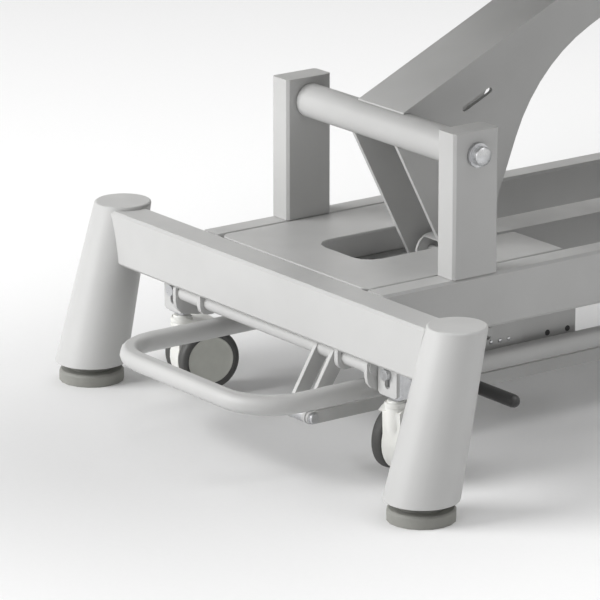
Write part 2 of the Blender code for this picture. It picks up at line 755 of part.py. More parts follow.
def pivot_tube(centre_y, centre_z):
    """A round tube between two posts, with a bushed end on the axle at each side."""
    half = RAIL_INNER - SHADOW_GAP
    bore = PIVOT_TUBE_RADIUS - PIVOT_TUBE_WALL
    bush = AXLE_RADIUS + RUN_GAP
    step = half - PIVOT_BUSH_LENGTH
    profile = [(PIVOT_TUBE_RADIUS, half), (PIVOT_TUBE_RADIUS, -half), (bush, -half), (bush, -step),
               (bore, -step), (bore, step), (bush, step), (bush, half)]
    return turned(profile, (0, centre_y, centre_z), (1, 0, 0), 20)


def make_arms():
    for name, pivot_y in (("near", PIVOT_Y), ("rear", REAR_PIVOT_Y)):
        finish(lift_arm(pivot_y), name + "_lift_arm", POWDER)
        lower = pivot_tube(pivot_y, PIVOT_Z)
        if name == "rear":
            weld_on(lower, *actuator_cheeks())
        finish(lower, name + "_pivot_tube", POWDER)
        finish(pivot_tube(pivot_y + ARM_REACH.x, UPPER_PIVOT_Z), name + "_upper_tube", POWDER)


def make_tie_bar():
    """A channel from crank pin to crank pin, open below, with round ends and a pin through each."""
    near = Vector((PIVOT_Y, PIVOT_Z)) + CRANK_PIN
    rear = near + Vector((PIVOT_SPACING, 0))
    half = TIE_WIDTH / 2
    bar = extruded([slot(near, rear, 2 * TIE_END_RADIUS, 7)], "X", -half, half)
    roof = near.y + TIE_END_RADIUS - TIE_WALL
    hollow = rectangle((near.x - 0.05, near.y - 0.05), (rear.x + 0.05, roof))
    cut(bar, extruded([hollow], "X", -half + TIE_WALL, half - TIE_WALL))
    face = ARM_HALF_WIDTH + WELD_GAP
    tip = face + TIE_PIN_HEAD
    pins = []
    for place in (near, rear):
        side = [(0, tip), (TIE_PIN_HEAD_RADIUS - 0.001, tip), (TIE_PIN_HEAD_RADIUS, tip - 0.001),
                (TIE_PIN_HEAD_RADIUS, face), (TIE_PIN_RADIUS, face)]
        pins.append(turned(side + [(r, -d) for r, d in reversed(side)], (0, place.x, place.y), (1, 0, 0), 14))
    finish(weld_on(bar, *pins), "tie_bar", POWDER)


# Lift actuator

def actuator_geometry():
    lever = Vector((math.cos(ACTUATOR_LEVER_ANGLE), math.sin(ACTUATOR_LEVER_ANGLE))) * ACTUATOR_LEVER
    head = Vector((REAR_PIVOT_Y, PIVOT_Z)) + lever
    foot = Vector((set_back(FAR, ACTUATOR_FOOT_SET_BACK), ACTUATOR_FOOT_Z))
    return head, foot


def along_actuator(distance):
    head, foot = actuator_geometry()
    return head + (foot - head).normalized() * distance


def actuator_cheeks():
    """Two lever plates welded to the rear pivot tube, with the rod's eye between them."""
    head = actuator_geometry()[0]
    pivot = Vector((REAR_PIVOT_Y, PIVOT_Z))
    heading = (head - pivot).normalized()
    side = Vector((-heading.y, heading.x))
    root = pivot + heading * (PIVOT_TUBE_RADIUS - TUBE_WALL / 2 - 0.010)
    angle = math.atan2(heading.y, heading.x)
    tip = arc(head, 0.013, angle - math.pi / 2, angle + math.pi / 2, 5)
    outline = [root - side * 0.012] + tip + [root + side * 0.012]
    hollow = circle(pivot, PIVOT_TUBE_RADIUS - PIVOT_TUBE_WALL / 2, 24)
    cheeks = []
    gap = ACTUATOR_EYE_HALF_WIDTH + ACTUATOR_SIDE_GAP
    for low in (ACTUATOR_X - gap - ACTUATOR_CHEEK, ACTUATOR_X + gap):
        cheek = extruded([outline, circle(head, ACTUATOR_PIN_RADIUS + RUN_GAP, 16)], "X", low,
                         low + ACTUATOR_CHEEK)
        cheeks.append(cut(cheek, extruded([hollow], "X", low - 0.01, low + ACTUATOR_CHEEK + 0.01)))
    return cheeks


def make_actuator():
    head, foot = actuator_geometry()
    length = (foot - head).length
    heading = (foot - head).normalized()
    axis = (0, heading.x, heading.y)
    x = ACTUATOR_X

    def at(distance):
        place = along_actuator(distance)
        return (x, place.x, place.y)

    eye_half = ACTUATOR_EYE_HALF_WIDTH
    rod_end = 0.200
    eye = rod((x - eye_half, head.x, head.y), (x + eye_half, head.x, head.y), ACTUATOR_EYE_RADIUS, 16)
    neck = rod(at(ACTUATOR_EYE_RADIUS - 0.004), at(ACTUATOR_NECK_LENGTH + 0.002), ACTUATOR_NECK_RADIUS, 12)
    push = rod(at(ACTUATOR_NECK_LENGTH), at(rod_end), ACTUATOR_ROD_RADIUS, 16)
    pin_half = eye_half + ACTUATOR_SIDE_GAP + ACTUATOR_CHEEK
    pin = turned([(0, pin_half + 0.003), (0.008, pin_half + 0.003), (0.008, pin_half + WELD_GAP),
                  (ACTUATOR_PIN_RADIUS, pin_half + WELD_GAP), (ACTUATOR_PIN_RADIUS, -pin_half - WELD_GAP),
                  (0.008, -pin_half - WELD_GAP), (0.008, -pin_half - 0.003), (0, -pin_half - 0.003)],
                 (x, head.x, head.y), (1, 0, 0), 12)
    weld_on(eye, neck, push, pin)
    finish(eye, "actuator_rod", ZINC)

    nose = 0.110
    tail = length - 0.030
    bore_end = rod_end + 0.090
    outer = [(ACTUATOR_BODY_RADIUS - 0.006, nose), (ACTUATOR_BODY_RADIUS, nose + 0.006),
             (ACTUATOR_BODY_RADIUS, tail)]
    bore = ACTUATOR_ROD_RADIUS + RUN_GAP
    profile = [(0, tail)] + outer[::-1] + [(bore, nose), (bore, bore_end), (0, bore_end)]
    body = turned(profile, (x, head.x, head.y), axis, 20)
    motor_centre = tail - 0.045
    low = along_actuator(motor_centre)
    high = low + Vector((-heading.y, heading.x)) * MOTOR_LENGTH
    motor = rod((x, low.x, low.y), (x, high.x, high.y), MOTOR_RADIUS, 18)
    tail_block = rod(at(tail - 0.075), at(tail), ACTUATOR_BODY_RADIUS + 0.004, 20)
    lug = rod(at(tail - 0.005), at(length - 0.0095), 0.0066, 10)
    foot_eye = ring((x - eye_half, foot.x, foot.y), (x + eye_half, foot.x, foot.y), ACTUATOR_EYE_RADIUS,
                    ACTUATOR_PIN_RADIUS + RUN_GAP, 16)
    weld_on(body, tail_block, motor, lug, foot_eye)
    finish(body, "actuator_body", PLASTIC)


def actuator_foot_plates():
    """Two upright plates with the holes of the actuator's foot pin."""
    foot = actuator_geometry()[1]
    low = BEAM_TOP - DECK_THICKNESS / 2
    plates = []
    gap = ACTUATOR_EYE_HALF_WIDTH + 0.0015
    for side_x in (ACTUATOR_X - gap - 0.004, ACTUATOR_X + gap):
        plates.append(extruded([rounded([(foot.x - 0.035, low, 0), (foot.x + 0.035, low, 0),
                                         (foot.x + 0.016, foot.y + 0.018, 0.014),
                                         (foot.x - 0.016, foot.y + 0.018, 0.014)]),
                                circle(foot, ACTUATOR_PIN_RADIUS, 16)], "X", side_x, side_x + 0.004))
    return plates


# Upper frame

def hanger(side, centre_y):
    """A short post that hangs from an upper rail to the upper pivot."""
    x = side * RAIL_MIDDLE
    low, high = UPPER_PIVOT_Z - HANGER_DROP, UPPER_RAIL_BOTTOM + TUBE_WALL / 2
    half = Vector((RAIL_WIDTH / 2, POST_DEPTH / 2))
    middle = Vector((x, centre_y))
    outer = extruded([rectangle(middle - half, middle + half, TUBE_CORNER)], "Z", low, high)
    inner = half - Vector((TUBE_WALL, TUBE_WALL))
    hollow = extruded([rectangle(middle - inner, middle + inner)], "Z", low - 0.01, high - TUBE_WALL)
    bore = rod((x - RAIL_WIDTH, centre_y, UPPER_PIVOT_Z), (x + RAIL_WIDTH, centre_y, UPPER_PIVOT_Z),
               AXLE_RADIUS + RUN_GAP, 14)
    return cut(outer, hollow, bore)


def make_upper_frame():
    """Rails, cross tubes, pivot hangers and clamp tongues, welded into one frame."""
    centre_z = UPPER_RAIL_BOTTOM + UPPER_RAIL_HEIGHT / 2
    start = HINGE_Y - RAIL_PAST_HINGE
    inner = RAIL_INNER + TUBE_WALL / 2
    left, right = [rect_tube("Y", start, UPPER_RAIL_HALF_LENGTH, (side * RAIL_MIDDLE, centre_z), RAIL_WIDTH,
                             UPPER_RAIL_HEIGHT) for side in (LEFT, RIGHT)]
    tubes = []
    for y in CROSS_TUBE_PLACES:
        centre = (y, UPPER_RAIL_TOP - CROSS_TUBE_HEIGHT / 2 - 0.001)
        tubes.append(rect_tube("X", -inner, inner, centre, CROSS_TUBE_WIDTH, CROSS_TUBE_HEIGHT, 0))
    hangers = [hanger(side, y + ARM_REACH.x) for y in (PIVOT_Y, REAR_PIVOT_Y) for side in (LEFT, RIGHT)]
    frame = weld_on(left, right, *tubes, *hangers, *clamp_tongues())
    bore = HINGE_PIN_RADIUS + RUN_GAP
    cut(frame, rod((-0.2, HINGE_Y, HINGE_Z), (0.2, HINGE_Y, HINGE_Z), bore, 14))
    finish(frame, "upper_frame", POWDER)


def plan_outline(low_y, high_y, inset, low_radius, high_radius):
    half = TOP_HALF_WIDTH - inset
    return rounded([(-half, low_y, low_radius), (half, low_y, low_radius), (half, high_y, high_radius),
                    (-half, high_y, high_radius)], 4)


def face_hole(grow=0.0):
    return [Vector((math.sin(a) * (FACE_HOLE_HALF_WIDTH + grow),
                    FACE_HOLE_Y + math.cos(a) * (FACE_HOLE_HALF_LENGTH + grow)))
            for a in (2 * math.pi * k / 24 for k in range(24))]


def pad_solid(loops, low, high, edge):
    """A cushion with softened upper and lower edges."""
    pad = extruded(loops, "Z", low, high)
    soften = pad.modifiers.new("edges", "BEVEL")
    soften.width = edge
    soften.segments = 2
    soften.limit_method = "ANGLE"
    soften.angle_limit = math.radians(60)
    apply_modifiers(pad)
    return pad


def make_top():
    inset = CUSHION_OVERHANG
    near_y = -TOP_HALF_LENGTH
    split_low, split_high = HEAD_SPLIT - SECTION_GAP / 2, HEAD_SPLIT + SECTION_GAP / 2
    board_top = BOARD_BOTTOM + BOARD_THICKNESS
    main_board = extruded([plan_outline(split_high + inset, TOP_HALF_LENGTH - inset, inset, 0.010,
                                        TOP_CORNER)], "Z",
                          BOARD_BOTTOM, board_top)
    finish(main_board, "main_board", PLYWOOD)
    head_board = extruded([plan_outline(near_y + inset, split_low - inset, inset, TOP_CORNER, 0.010),
                           face_hole(0.006)], "Z", BOARD_BOTTOM, board_top)
    finish(head_board, "head_board", PLYWOOD)
    top = CUSHION_BOTTOM + CUSHION_THICKNESS
    main = pad_solid([plan_outline(split_high, TOP_HALF_LENGTH, 0, 0.012, TOP_CORNER)], CUSHION_BOTTOM,
                     top, 0.012)
    finish(main, "main_cushion", COVER)
    head = pad_solid([plan_outline(near_y, split_low, 0, TOP_CORNER, 0.012), face_hole()], CUSHION_BOTTOM,
                     top, 0.012)
    finish(head, "head_cushion", COVER)


def make_head_frame():
    """Two lengthwise tubes under the head board, joined by a cross tube and hinged on one pin."""
    z = HINGE_Z
    end_y = HINGE_Y - HEAD_TUBE_LENGTH
    top_z = UPPER_RAIL_TOP
    frame = None
    for side in (LEFT, RIGHT):
        x = side * HEAD_TUBE_X
        bar = box((x - HEAD_TUBE_WIDTH / 2, end_y, top_z - HEAD_TUBE_HEIGHT), (x + HEAD_TUBE_WIDTH / 2,
                                                                               HINGE_Y, top_z))
        boss = rod((x - HEAD_TUBE_WIDTH / 2, HINGE_Y, z), (x + HEAD_TUBE_WIDTH / 2, HINGE_Y, z),
                   HINGE_BOSS_RADIUS - 0.0001, 16)
        weld_on(bar, boss)
        frame = bar if frame is None else weld_on(frame, bar)
    for distance in HEAD_CROSS_PLACES:
        y = HINGE_Y - distance
        cross = box((-HEAD_TUBE_X, y - 0.010, top_z - 0.020), (HEAD_TUBE_X, y + 0.010, top_z - 0.001))
        weld_on(frame, cross)
    weld_on(frame, *quadrants(z))
    reach = RAIL_HALF_SPAN + WELD_GAP
    head = [(0, reach + 0.004), (0.0095, reach + 0.004), (0.0095, reach), (HINGE_PIN_RADIUS, reach)]
    pin = turned(head + [(r, -d) for r, d in reversed(head)], (0, HINGE_Y, z), (1, 0, 0), 14)
    finish(weld_on(frame, pin), "head_frame", POWDER)
    make_clamp_lever(z)


def quadrants(z):
    """Slotted curved plates that hang from the head tubes, concentric with the hinge."""
    # The bolt stands right below the hinge; the slot lets the head go down from level.
    straight_down = -math.pi / 2
    slot_start, slot_stop = straight_down - HEAD_DOWN, straight_down
    end_margin = math.radians(9)
    outer_radius, inner_radius = QUADRANT_RADIUS + QUADRANT_BAND / 2, QUADRANT_RADIUS - QUADRANT_BAND / 2
    plates = []
    centre = Vector((HINGE_Y, z))
    top = -HEAD_TUBE_HEIGHT / 4
    first = -math.pi + math.asin(-top / outer_radius)
    outline = arc(centre, outer_radius, first, slot_stop + end_margin, 12)
    outline += arc(centre, inner_radius, slot_stop + end_margin, slot_start - end_margin / 2, 8)
    outline.append(centre + Vector((-inner_radius * 0.85, top)))
    way = arc(centre, QUADRANT_RADIUS + QUADRANT_SLOT / 2, slot_start - math.radians(3.5),
              slot_stop + math.radians(3.5), 9)
    way += arc(centre, QUADRANT_RADIUS - QUADRANT_SLOT / 2, slot_stop + math.radians(3.5),
               slot_start - math.radians(3.5), 9)
    for side in (LEFT, RIGHT):
        x = side * HEAD_TUBE_X
        plates.append(extruded([outline, way], "X", x - QUADRANT_PLATE / 2, x + QUADRANT_PLATE / 2))
    return plates


def clamp_tongues():
    """A tongue beside each quadrant, bored for the clamp bolt and standing out from its rail."""
    bolt_z = HINGE_Z - QUADRANT_RADIUS
    bolt_y = HINGE_Y
    tongue_top = UPPER_RAIL_BOTTOM + 0.012
    tongues = []
    for side in (LEFT, RIGHT):
        inner = side * (HEAD_TUBE_X + QUADRANT_PLATE / 2 + WELD_GAP)
        outer = side * (HEAD_TUBE_X + QUADRANT_PLATE / 2 + WELD_GAP + CLAMP_TONGUE)
        low, high = min(inner, outer), max(inner, outer)
        # The front edge leans back towards the top, out of the way of the head tube as the head goes down.
        tongue = extruded([rounded([(bolt_y - 0.014, bolt_z - 0.014, 0.010), (bolt_y + 0.014,
                                                                              bolt_z - 0.014, 0.010),
                                    (bolt_y + 0.014, tongue_top, 0), (bolt_y - 0.003, tongue_top, 0),
                                    (bolt_y - 0.014, HINGE_Z - 0.038, 0)]),
                           circle((bolt_y, bolt_z), CLAMP_BOLT_RADIUS + RUN_GAP, 16)], "X", low, high)
        web_xs = sorted(((inner + outer) / 2, side * (RAIL_INNER + TUBE_WALL / 2)))
        web_low = UPPER_RAIL_BOTTOM + 0.004
        web = box((web_xs[0], bolt_y - 0.001, web_low), (web_xs[1], bolt_y + 0.0125, web_low + 0.006))
        weld_on(tongue, web)
        if side == LEFT:
            far = HEAD_TUBE_X - QUADRANT_PLATE / 2 - WELD_GAP
            near = HEAD_TUBE_X + QUADRANT_PLATE / 2 + WELD_GAP + CLAMP_TONGUE / 2
            stud = turned([(0, near), (CLAMP_BOLT_RADIUS + 0.001, near), (CLAMP_BOLT_RADIUS + 0.001,
                                                                          near - 0.002),
                           (CLAMP_BOLT_RADIUS, near - 0.002), (CLAMP_BOLT_RADIUS, far), (0.008, far),
                           (0.008, far - 0.004), (0, far - 0.004)], (0, bolt_y, bolt_z), (side, 0, 0), 12)
            weld_on(tongue, stud)
        tongues.append(tongue)
    return tongues


def make_clamp_lever(z):
    """The lever with its clamp bolt, through the right quadrant and its tongue."""
    inside = HEAD_TUBE_X - QUADRANT_PLATE / 2 - WELD_GAP
    outside = HEAD_TUBE_X + QUADRANT_PLATE / 2 + WELD_GAP + CLAMP_TONGUE + WELD_GAP
    bolt_z = z - QUADRANT_RADIUS
    profile = [(0, outside + 0.005), (0.007, outside + 0.005), (0.007, outside), (CLAMP_BOLT_RADIUS, outside),
               (CLAMP_BOLT_RADIUS, inside), (0.010, inside), (0.010, inside - 0.016), (0, inside - 0.016)]
    bolt = turned(profile, (0, HINGE_Y, bolt_z), (1, 0, 0), 14)
    handle = turned([(0, 0.088), (0.0045, 0.087), (0.0075, 0.083), (0.0085, 0.078), (0.0055, 0.030),
                     (0.0050, 0.0), (0, 0)],
                    (inside - 0.008, HINGE_Y, bolt_z), (-0.35, 0.10, -1), 14)
    finish(weld_on(bolt, handle), "clamp_lever", SLEEVE_BLACK)


# Castor lift

def shaft_y(end):
    return set_back(end, SHAFT_SET_BACK[end])


def lever_plate(loop, x, thickness=LEVER_PLATE):
    return extruded([loop], "X", x - thickness / 2, x + thickness / 2)


def push_lever_outline(end):
    """The J-shaped lever: down beside the shaft, then curving up and out to its pin."""
    centre = Vector((shaft_y(end), SHAFT_Z))
    tip_y, tip_z = PUSH_REACH_Y + 0.008, PUSH_REACH_Z + 0.008
    points = [(-0.0035, 0.0096, 0.003), (-0.0115, 0.0065, 0.003), (-0.0115, -0.022, 0.016),
              (0.026, -0.030, 0.014), (tip_y + 0.002, PUSH_REACH_Z - 0.006, 0.006), (tip_y, tip_z, 0.006),
              (0.014, 0.0045, 0.004), (0.0110, 0.0098, 0.002)]
    return [centre + p for p in rounded(points, 3)]


def fork_outline(end):
    centre = Vector((shaft_y(end), SHAFT_Z))
    reach = centre + Vector((FORK_REACH_Y, FORK_REACH_Z))
    return tapered(centre, reach, FORK_ROOT_RADIUS, FORK_TIP_RADIUS, 5)


def link_pin_place(end):
    return Vector((shaft_y(end) + FORK_REACH_Y, SHAFT_Z + FORK_REACH_Z))


def make_castor_shafts():
    for end, name in ((NEAR, "near_castor_shaft"), (FAR, "far_castor_shaft")):
        y = shaft_y(end)
        shaft = rod((-SHAFT_END_X, y, SHAFT_Z), (SHAFT_END_X, y, SHAFT_Z), SHAFT_RADIUS, 14)
        pin_hole = circle(link_pin_place(end), LINK_BOLT_RADIUS + RUN_GAP, 12)
        forks = [extruded([fork_outline(end), pin_hole], "X", x - LEVER_PLATE / 2, x + LEVER_PLATE / 2)
                 for x in FORK_X]
        levers = []
        for side in (LEFT, RIGHT):
            x = side * PUSH_LEVER_X
            levers.append(lever_plate(push_lever_outline(end), x))
            pin_y, pin_z = y + PUSH_REACH_Y, SHAFT_Z + PUSH_REACH_Z
            levers.append(rod((x, pin_y, pin_z), (side * (PUSH_LEVER_X + 0.018), pin_y, pin_z),
                              PUSH_PIN_RADIUS, 12))
        weld_on(shaft, *forks, *levers)
        if end == NEAR:
            pedal = Vector((set_back(NEAR, PEDAL_SET_BACK), PEDAL_Z))
            arm = slot(Vector((y, SHAFT_Z)), pedal, PEDAL_ARM_WIDTH, 5)
            bar = rod((PEDAL_ARM_X, pedal.x, pedal.y), (PEDAL_TIP_X - 0.006, pedal.x, pedal.y),
                      PEDAL_ROD_RADIUS, 12)
            weld_on(shaft, lever_plate(arm, PEDAL_ARM_X, 0.006), bar)
        finish(shaft, name, POWDER)


def make_pedal_sleeve():
    y, z = set_back(NEAR, PEDAL_SET_BACK), PEDAL_Z
    start, tip = PEDAL_SLEEVE_X, PEDAL_TIP_X
    radius, bore = PEDAL_SLEEVE_RADIUS, PEDAL_ROD_RADIUS + WELD_GAP
    depth = PEDAL_TIP_X - 0.006 + WELD_GAP
    dome_angles = [math.pi / 2 * k / 4 for k in range(5)]
    dome = [(radius * math.sin(a), tip - radius + radius * math.cos(a)) for a in dome_angles]
    profile = dome + [(radius, start), (bore, start), (bore, depth), (0, depth)]
    finish(turned(profile, (0, y, z), (1, 0, 0), 16), "pedal_sleeve", SLEEVE_BLACK)


def make_link_bar():
    near, far = link_pin_place(NEAR), link_pin_place(FAR)
    low, high = LINK_X - LINK_THICKNESS / 2, LINK_X + LINK_THICKNESS / 2
    holes = [circle(p, LINK_BOLT_RADIUS + WELD_GAP, 12) for p in (near, far)]
    finish(extruded([slot(near, far, LINK_HEIGHT, 5)] + holes, "X", low, high), "link_bar", POWDER)
    inner = FORK_X[0] - LEVER_PLATE / 2 - WELD_GAP
    spacer_low = FORK_X[0] + LEVER_PLATE / 2 + WELD_GAP
    spacer_high = FORK_X[1] - LEVER_PLATE / 2 - WELD_GAP
    face = high + WELD_GAP
    nut = face + LINK_WASHER
    tip = nut + LINK_NUT
    chamfer = 0.0008
    head = inner - 0.004
    for name, place in (("near_link_bolt", near), ("far_link_bolt", far)):
        profile = [(0, tip), (LINK_NUT_RADIUS - chamfer, tip), (LINK_NUT_RADIUS, tip - chamfer),
                   (LINK_NUT_RADIUS, nut), (LINK_WASHER_RADIUS, nut), (LINK_WASHER_RADIUS, face),
                   (LINK_BOLT_RADIUS, face), (LINK_BOLT_RADIUS, spacer_high),
                   (LINK_SPACER_RADIUS, spacer_high), (LINK_SPACER_RADIUS, spacer_low),
                   (LINK_BOLT_RADIUS, spacer_low), (LINK_BOLT_RADIUS, inner),
                   (LINK_SPACER_RADIUS, inner), (LINK_SPACER_RADIUS, head), (0, head)]
        finish(turned(profile, (0, place.x, place.y), (1, 0, 0), 12), name, ZINC)


def shaft_bearings(end):
    """Bored blocks under a crossbeam that carry its castor shaft."""
    blocks = []
    top = LOW_OF_BEAM + TUBE_WALL / 2
    y = shaft_y(end)
    low = SHAFT_Z - BEARING_RADIUS
    for side in (LEFT, RIGHT):
        x = side * BEARING_X
        loop = rounded([(y - BEARING_RADIUS, top, 0), (y - BEARING_RADIUS, low, 0.010),
                        (y + BEARING_RADIUS, low, 0.010), (y + BEARING_RADIUS, top, 0)])
        hole = circle((y, SHAFT_Z), SHAFT_RADIUS + RUN_GAP, 14)
        blocks.append(extruded([loop, hole], "X", x - BEARING_WIDTH / 2, x + BEARING_WIDTH / 2))
    return blocks


def castor_guides(end):
    """Slotted plates under a crossbeam, in which the carriers' bolts run."""
    guides = []
    top = LOW_OF_BEAM + TUBE_WALL / 2
    front = shaft_y(end) + GUIDE_OFFSET
    half = GUIDE_WIDTH / 2
    for side in (LEFT, RIGHT):
        x = side * STEM_X
        loop = rectangle((x - half, GUIDE_BOTTOM), (x + half, top), 0.003)
        way = slot((x, CARRIER_BOLT_Z), (x, CARRIER_BOLT_Z - CASTOR_DROP), 2 * (CARRIER_BOLT_RADIUS + 0.0004))
        guides.append(extruded([loop, way], "Y", front, front + GUIDE_THICKNESS))
    return guides


CORNERS = [("near_left", NEAR, LEFT), ("near_right", NEAR, RIGHT), ("far_left", FAR, LEFT),
           ("far_right", FAR, RIGHT)]


def make_carriers():
    """Blocks that ride in the guides: a bolt in the slot, a shelf under the push lever's pin and the stem."""
    for name, end, side in CORNERS:
        x = side * STEM_X
        guide_face = shaft_y(end) + GUIDE_OFFSET
        guide_back = guide_face + GUIDE_THICKNESS + WELD_GAP
        stem_y = shaft_y(end) + STEM_OFFSET
        half = CARRIER_WIDTH / 2
        block = box((x - half, guide_back, CARRIER_BOTTOM), (x + half, stem_y + CARRIER_BEHIND_STEM,
                                                             CARRIER_TOP), 0.0)
        shelf_top = SHAFT_Z + PUSH_REACH_Z - PUSH_PIN_RADIUS - WELD_GAP
        shelf = box((x - half, stem_y + CARRIER_BEHIND_STEM - 0.002, shelf_top - SHELF_THICKNESS),
                    (x + half, shaft_y(end) + PUSH_REACH_Y + SHELF_BEYOND_PIN, shelf_top))
        stem = rod((x, stem_y, CARRIER_BOTTOM + 0.005), (x, stem_y, stem_bottom()), CASTOR_STEM_RADIUS, 10)
        front = guide_face - WELD_GAP
        bolt = rod((x, guide_back + 0.004, CARRIER_BOLT_Z), (x, front, CARRIER_BOLT_Z),
                   CARRIER_BOLT_RADIUS, 10)
        head = rod((x, front, CARRIER_BOLT_Z), (x, front - CARRIER_BOLT_HEAD, CARRIER_BOLT_Z),
                   CARRIER_BOLT_HEAD_RADIUS, 12)
        weld_on(block, shelf, stem, bolt, head)
        finish(block, "carrier_" + name, ZINC)


def stem_bottom():
    return AXLE_HEIGHT + 0.022


def make_castors():
    """Twin-wheel castors: a hood with a central web and a boss on the stem, and two wheels on one axle."""
    boss_top = CARRIER_BOTTOM - WELD_GAP - 0.0025
    for name, end, side in CORNERS:
        x, y = side * STEM_X, shaft_y(end) + STEM_OFFSET
        wheel_y = y + CASTOR_TRAIL
        axle = Vector((wheel_y, AXLE_HEIGHT))
        half = HOOD_WIDTH / 2
        cover = WHEEL_RADIUS + HOOD_COVER
        back = [(wheel_y + 0.012, AXLE_HEIGHT - 0.020, 0.010), (wheel_y + 0.026, AXLE_HEIGHT + 0.010, 0.012),
                (wheel_y + 0.006, boss_top - 0.010, 0.010), (y + 0.004, boss_top - 0.004, 0.004),
                (y - 0.009, boss_top - 0.012, 0)]
        web = arc(axle, WHEEL_RADIUS - 0.001, math.radians(160), math.radians(232), 6) + rounded(back, 2)
        body = extruded([web], "X", x - half, x + half)
        boss_low = AXLE_HEIGHT + 0.008
        boss = turned([(0, boss_top), (HOOD_BOSS_RADIUS - 0.002, boss_top),
                       (HOOD_BOSS_RADIUS, boss_top - 0.004), (HOOD_BOSS_RADIUS, boss_low + 0.012),
                       (HOOD_BOSS_RADIUS - 0.003, boss_low), (0, boss_low)],
                      (x, y, 0), (0, 0, 1), 14)
        crown_start, crown_stop = math.radians(58), math.radians(125)
        crown = arc(axle, cover + 0.0025, crown_start, crown_stop, 6)
        crown += arc(axle, cover, crown_stop, crown_start, 6)
        shell = extruded([crown], "X", x - CASTOR_WIDTH / 2 + 0.003, x + CASTOR_WIDTH / 2 - 0.003)
        weld_on(body, boss, shell)
        socket = rod((x, y, stem_bottom() - 0.002), (x, y, boss_top + 0.01), CASTOR_STEM_RADIUS + RUN_GAP, 10)
        bore = rod((x - 0.05, wheel_y, AXLE_HEIGHT), (x + 0.05, wheel_y, AXLE_HEIGHT),
                   CASTOR_AXLE_RADIUS + RUN_GAP, 10)
        cut(body, socket, bore)
        wheels = wheel_pair(x, wheel_y)
        angle = math.radians(CASTOR_TURNS[name])
        for piece in (body, wheels):
            turned_about(piece, "Z", angle, (x, y, 0))
        finish(body, "hood_" + name, HOOD_WHITE)
        finish(wheels, "wheels_" + name, TYRE_DARK)


def wheel_pair(x, y):
    outer = CASTOR_WIDTH / 2
    inner = outer - WHEEL_WIDTH
    r = WHEEL_RADIUS
    side = [(0, outer - 0.0015), (r - 0.0068, outer - 0.0015), (r - 0.0058, outer), (r, outer - 0.003),
            (r, inner), (CASTOR_AXLE_RADIUS, inner)]
    return turned(side + [(a, -d) for a, d in reversed(side)], (x, y, AXLE_HEIGHT), (1, 0, 0), 20)


# Foot loop

def make_foot_loop():
    reach_y = BASE_HALF + LOOP_OVERHANG
    path = rounded([(-LOOP_X, -reach_y, LOOP_CORNER), (LOOP_X, -reach_y, LOOP_CORNER),
                    (LOOP_X, reach_y, LOOP_CORNER), (-LOOP_X, reach_y, LOOP_CORNER)], 6)
    curve = bpy.data.curves.new("loop", "CURVE")
    curve.dimensions = "3D"
    curve.bevel_depth = LOOP_RADIUS
    curve.bevel_resolution = 3
    spline = curve.splines.new("POLY")
    spline.points.add(len(path) - 1)
    for point, place in zip(spline.points, path):
        point.co = (place.x, place.y, LOOP_Z, 1)
    spline.use_cyclic_u = True
    guide = bpy.data.objects.new("loop", curve)
    bpy.context.scene.collection.objects.link(guide)
    bpy.context.view_layer.update()
    mesh = bpy.data.meshes.new_from_object(guide.evaluated_get(bpy.context.evaluated_depsgraph_get()))
    bpy.data.objects.remove(guide, do_unlink=True)
    weld(mesh)
    finish(weld_on(object_from(mesh), *loop_straps()), "foot_loop", POWDER)


def loop_bolt_place(end):
    """Where a strap hangs on its plate, as (Y, Z)."""
    return set_back(end, BRACKET_SET_BACK + STRAP_BOLT_PLACE), LOW_OF_BEAM - 0.017


def loop_straps():
    """Slotted straps that rise from the loop beside the plates under the rails."""
    straps = []
    inner = BRACKET_FACE_X + WELD_GAP
    for end in (NEAR, FAR):
        for side in (LEFT, RIGHT):
            y, z = loop_bolt_place(end)
            xs = sorted((side * inner, side * (inner + HANGER_STRAP)))
            top = LOW_OF_BEAM - BRACKET_FLANGE - LOOP_TRAVEL - 0.001
            start = BRACKET_SET_BACK + STRAP_START
            low_y, high_y = sorted((set_back(end, start), set_back(end, start + STRAP_WIDTH)))
            loop = rectangle((low_y, LOOP_Z), (high_y, top), 0.002)
            way = slot((y, z - LOOP_TRAVEL - 0.0004), (y, z + 0.0004), 2 * (LOOP_BOLT_RADIUS + 0.0004), 5)
            straps.append(extruded([loop, way], "X", *xs))
    return straps


def loop_brackets(side):
    """Angle plates under a rail, each with the bolt that carries a strap of the foot loop."""
    pieces = []
    top = LOW_OF_BEAM + TUBE_WALL / 2
    inner = BRACKET_FACE_X - BRACKET_PLATE
    for end in (NEAR, FAR):
        ys = sorted((set_back(end, BRACKET_SET_BACK), set_back(end, BRACKET_SET_BACK + BRACKET_LENGTH)))
        holes = [circle((set_back(end, BRACKET_SET_BACK + BRACKET_LENGTH - margin), BRACKET_HOLE_Z),
                        BRACKET_HOLE_RADIUS, 10)
                 for margin in BRACKET_HOLE_MARGINS]
        xs = sorted((side * inner, side * BRACKET_FACE_X))
        pieces.append(extruded([rectangle((ys[0], BRACKET_BOTTOM), (ys[1], top - 0.001))] + holes, "X", *xs))
        flange_xs = sorted((side * (inner + 0.001), side * RAIL_MIDDLE))
        pieces.append(box((flange_xs[0], ys[0] + 0.001, LOW_OF_BEAM - BRACKET_FLANGE),
                          (flange_xs[1], ys[1] - 0.001, top)))
        bolt_y, bolt_z = loop_bolt_place(end)
        face = BRACKET_FACE_X + 2 * WELD_GAP + HANGER_STRAP
        sunk = BRACKET_FACE_X - BRACKET_PLATE / 2
        profile = [(0, face + 0.003), (0.0052, face + 0.003), (0.0052, face), (LOOP_BOLT_RADIUS, face),
                   (LOOP_BOLT_RADIUS, sunk), (0, sunk)]
        pieces.append(turned(profile, (0, bolt_y, bolt_z), (side, 0, 0), 10))
    return pieces


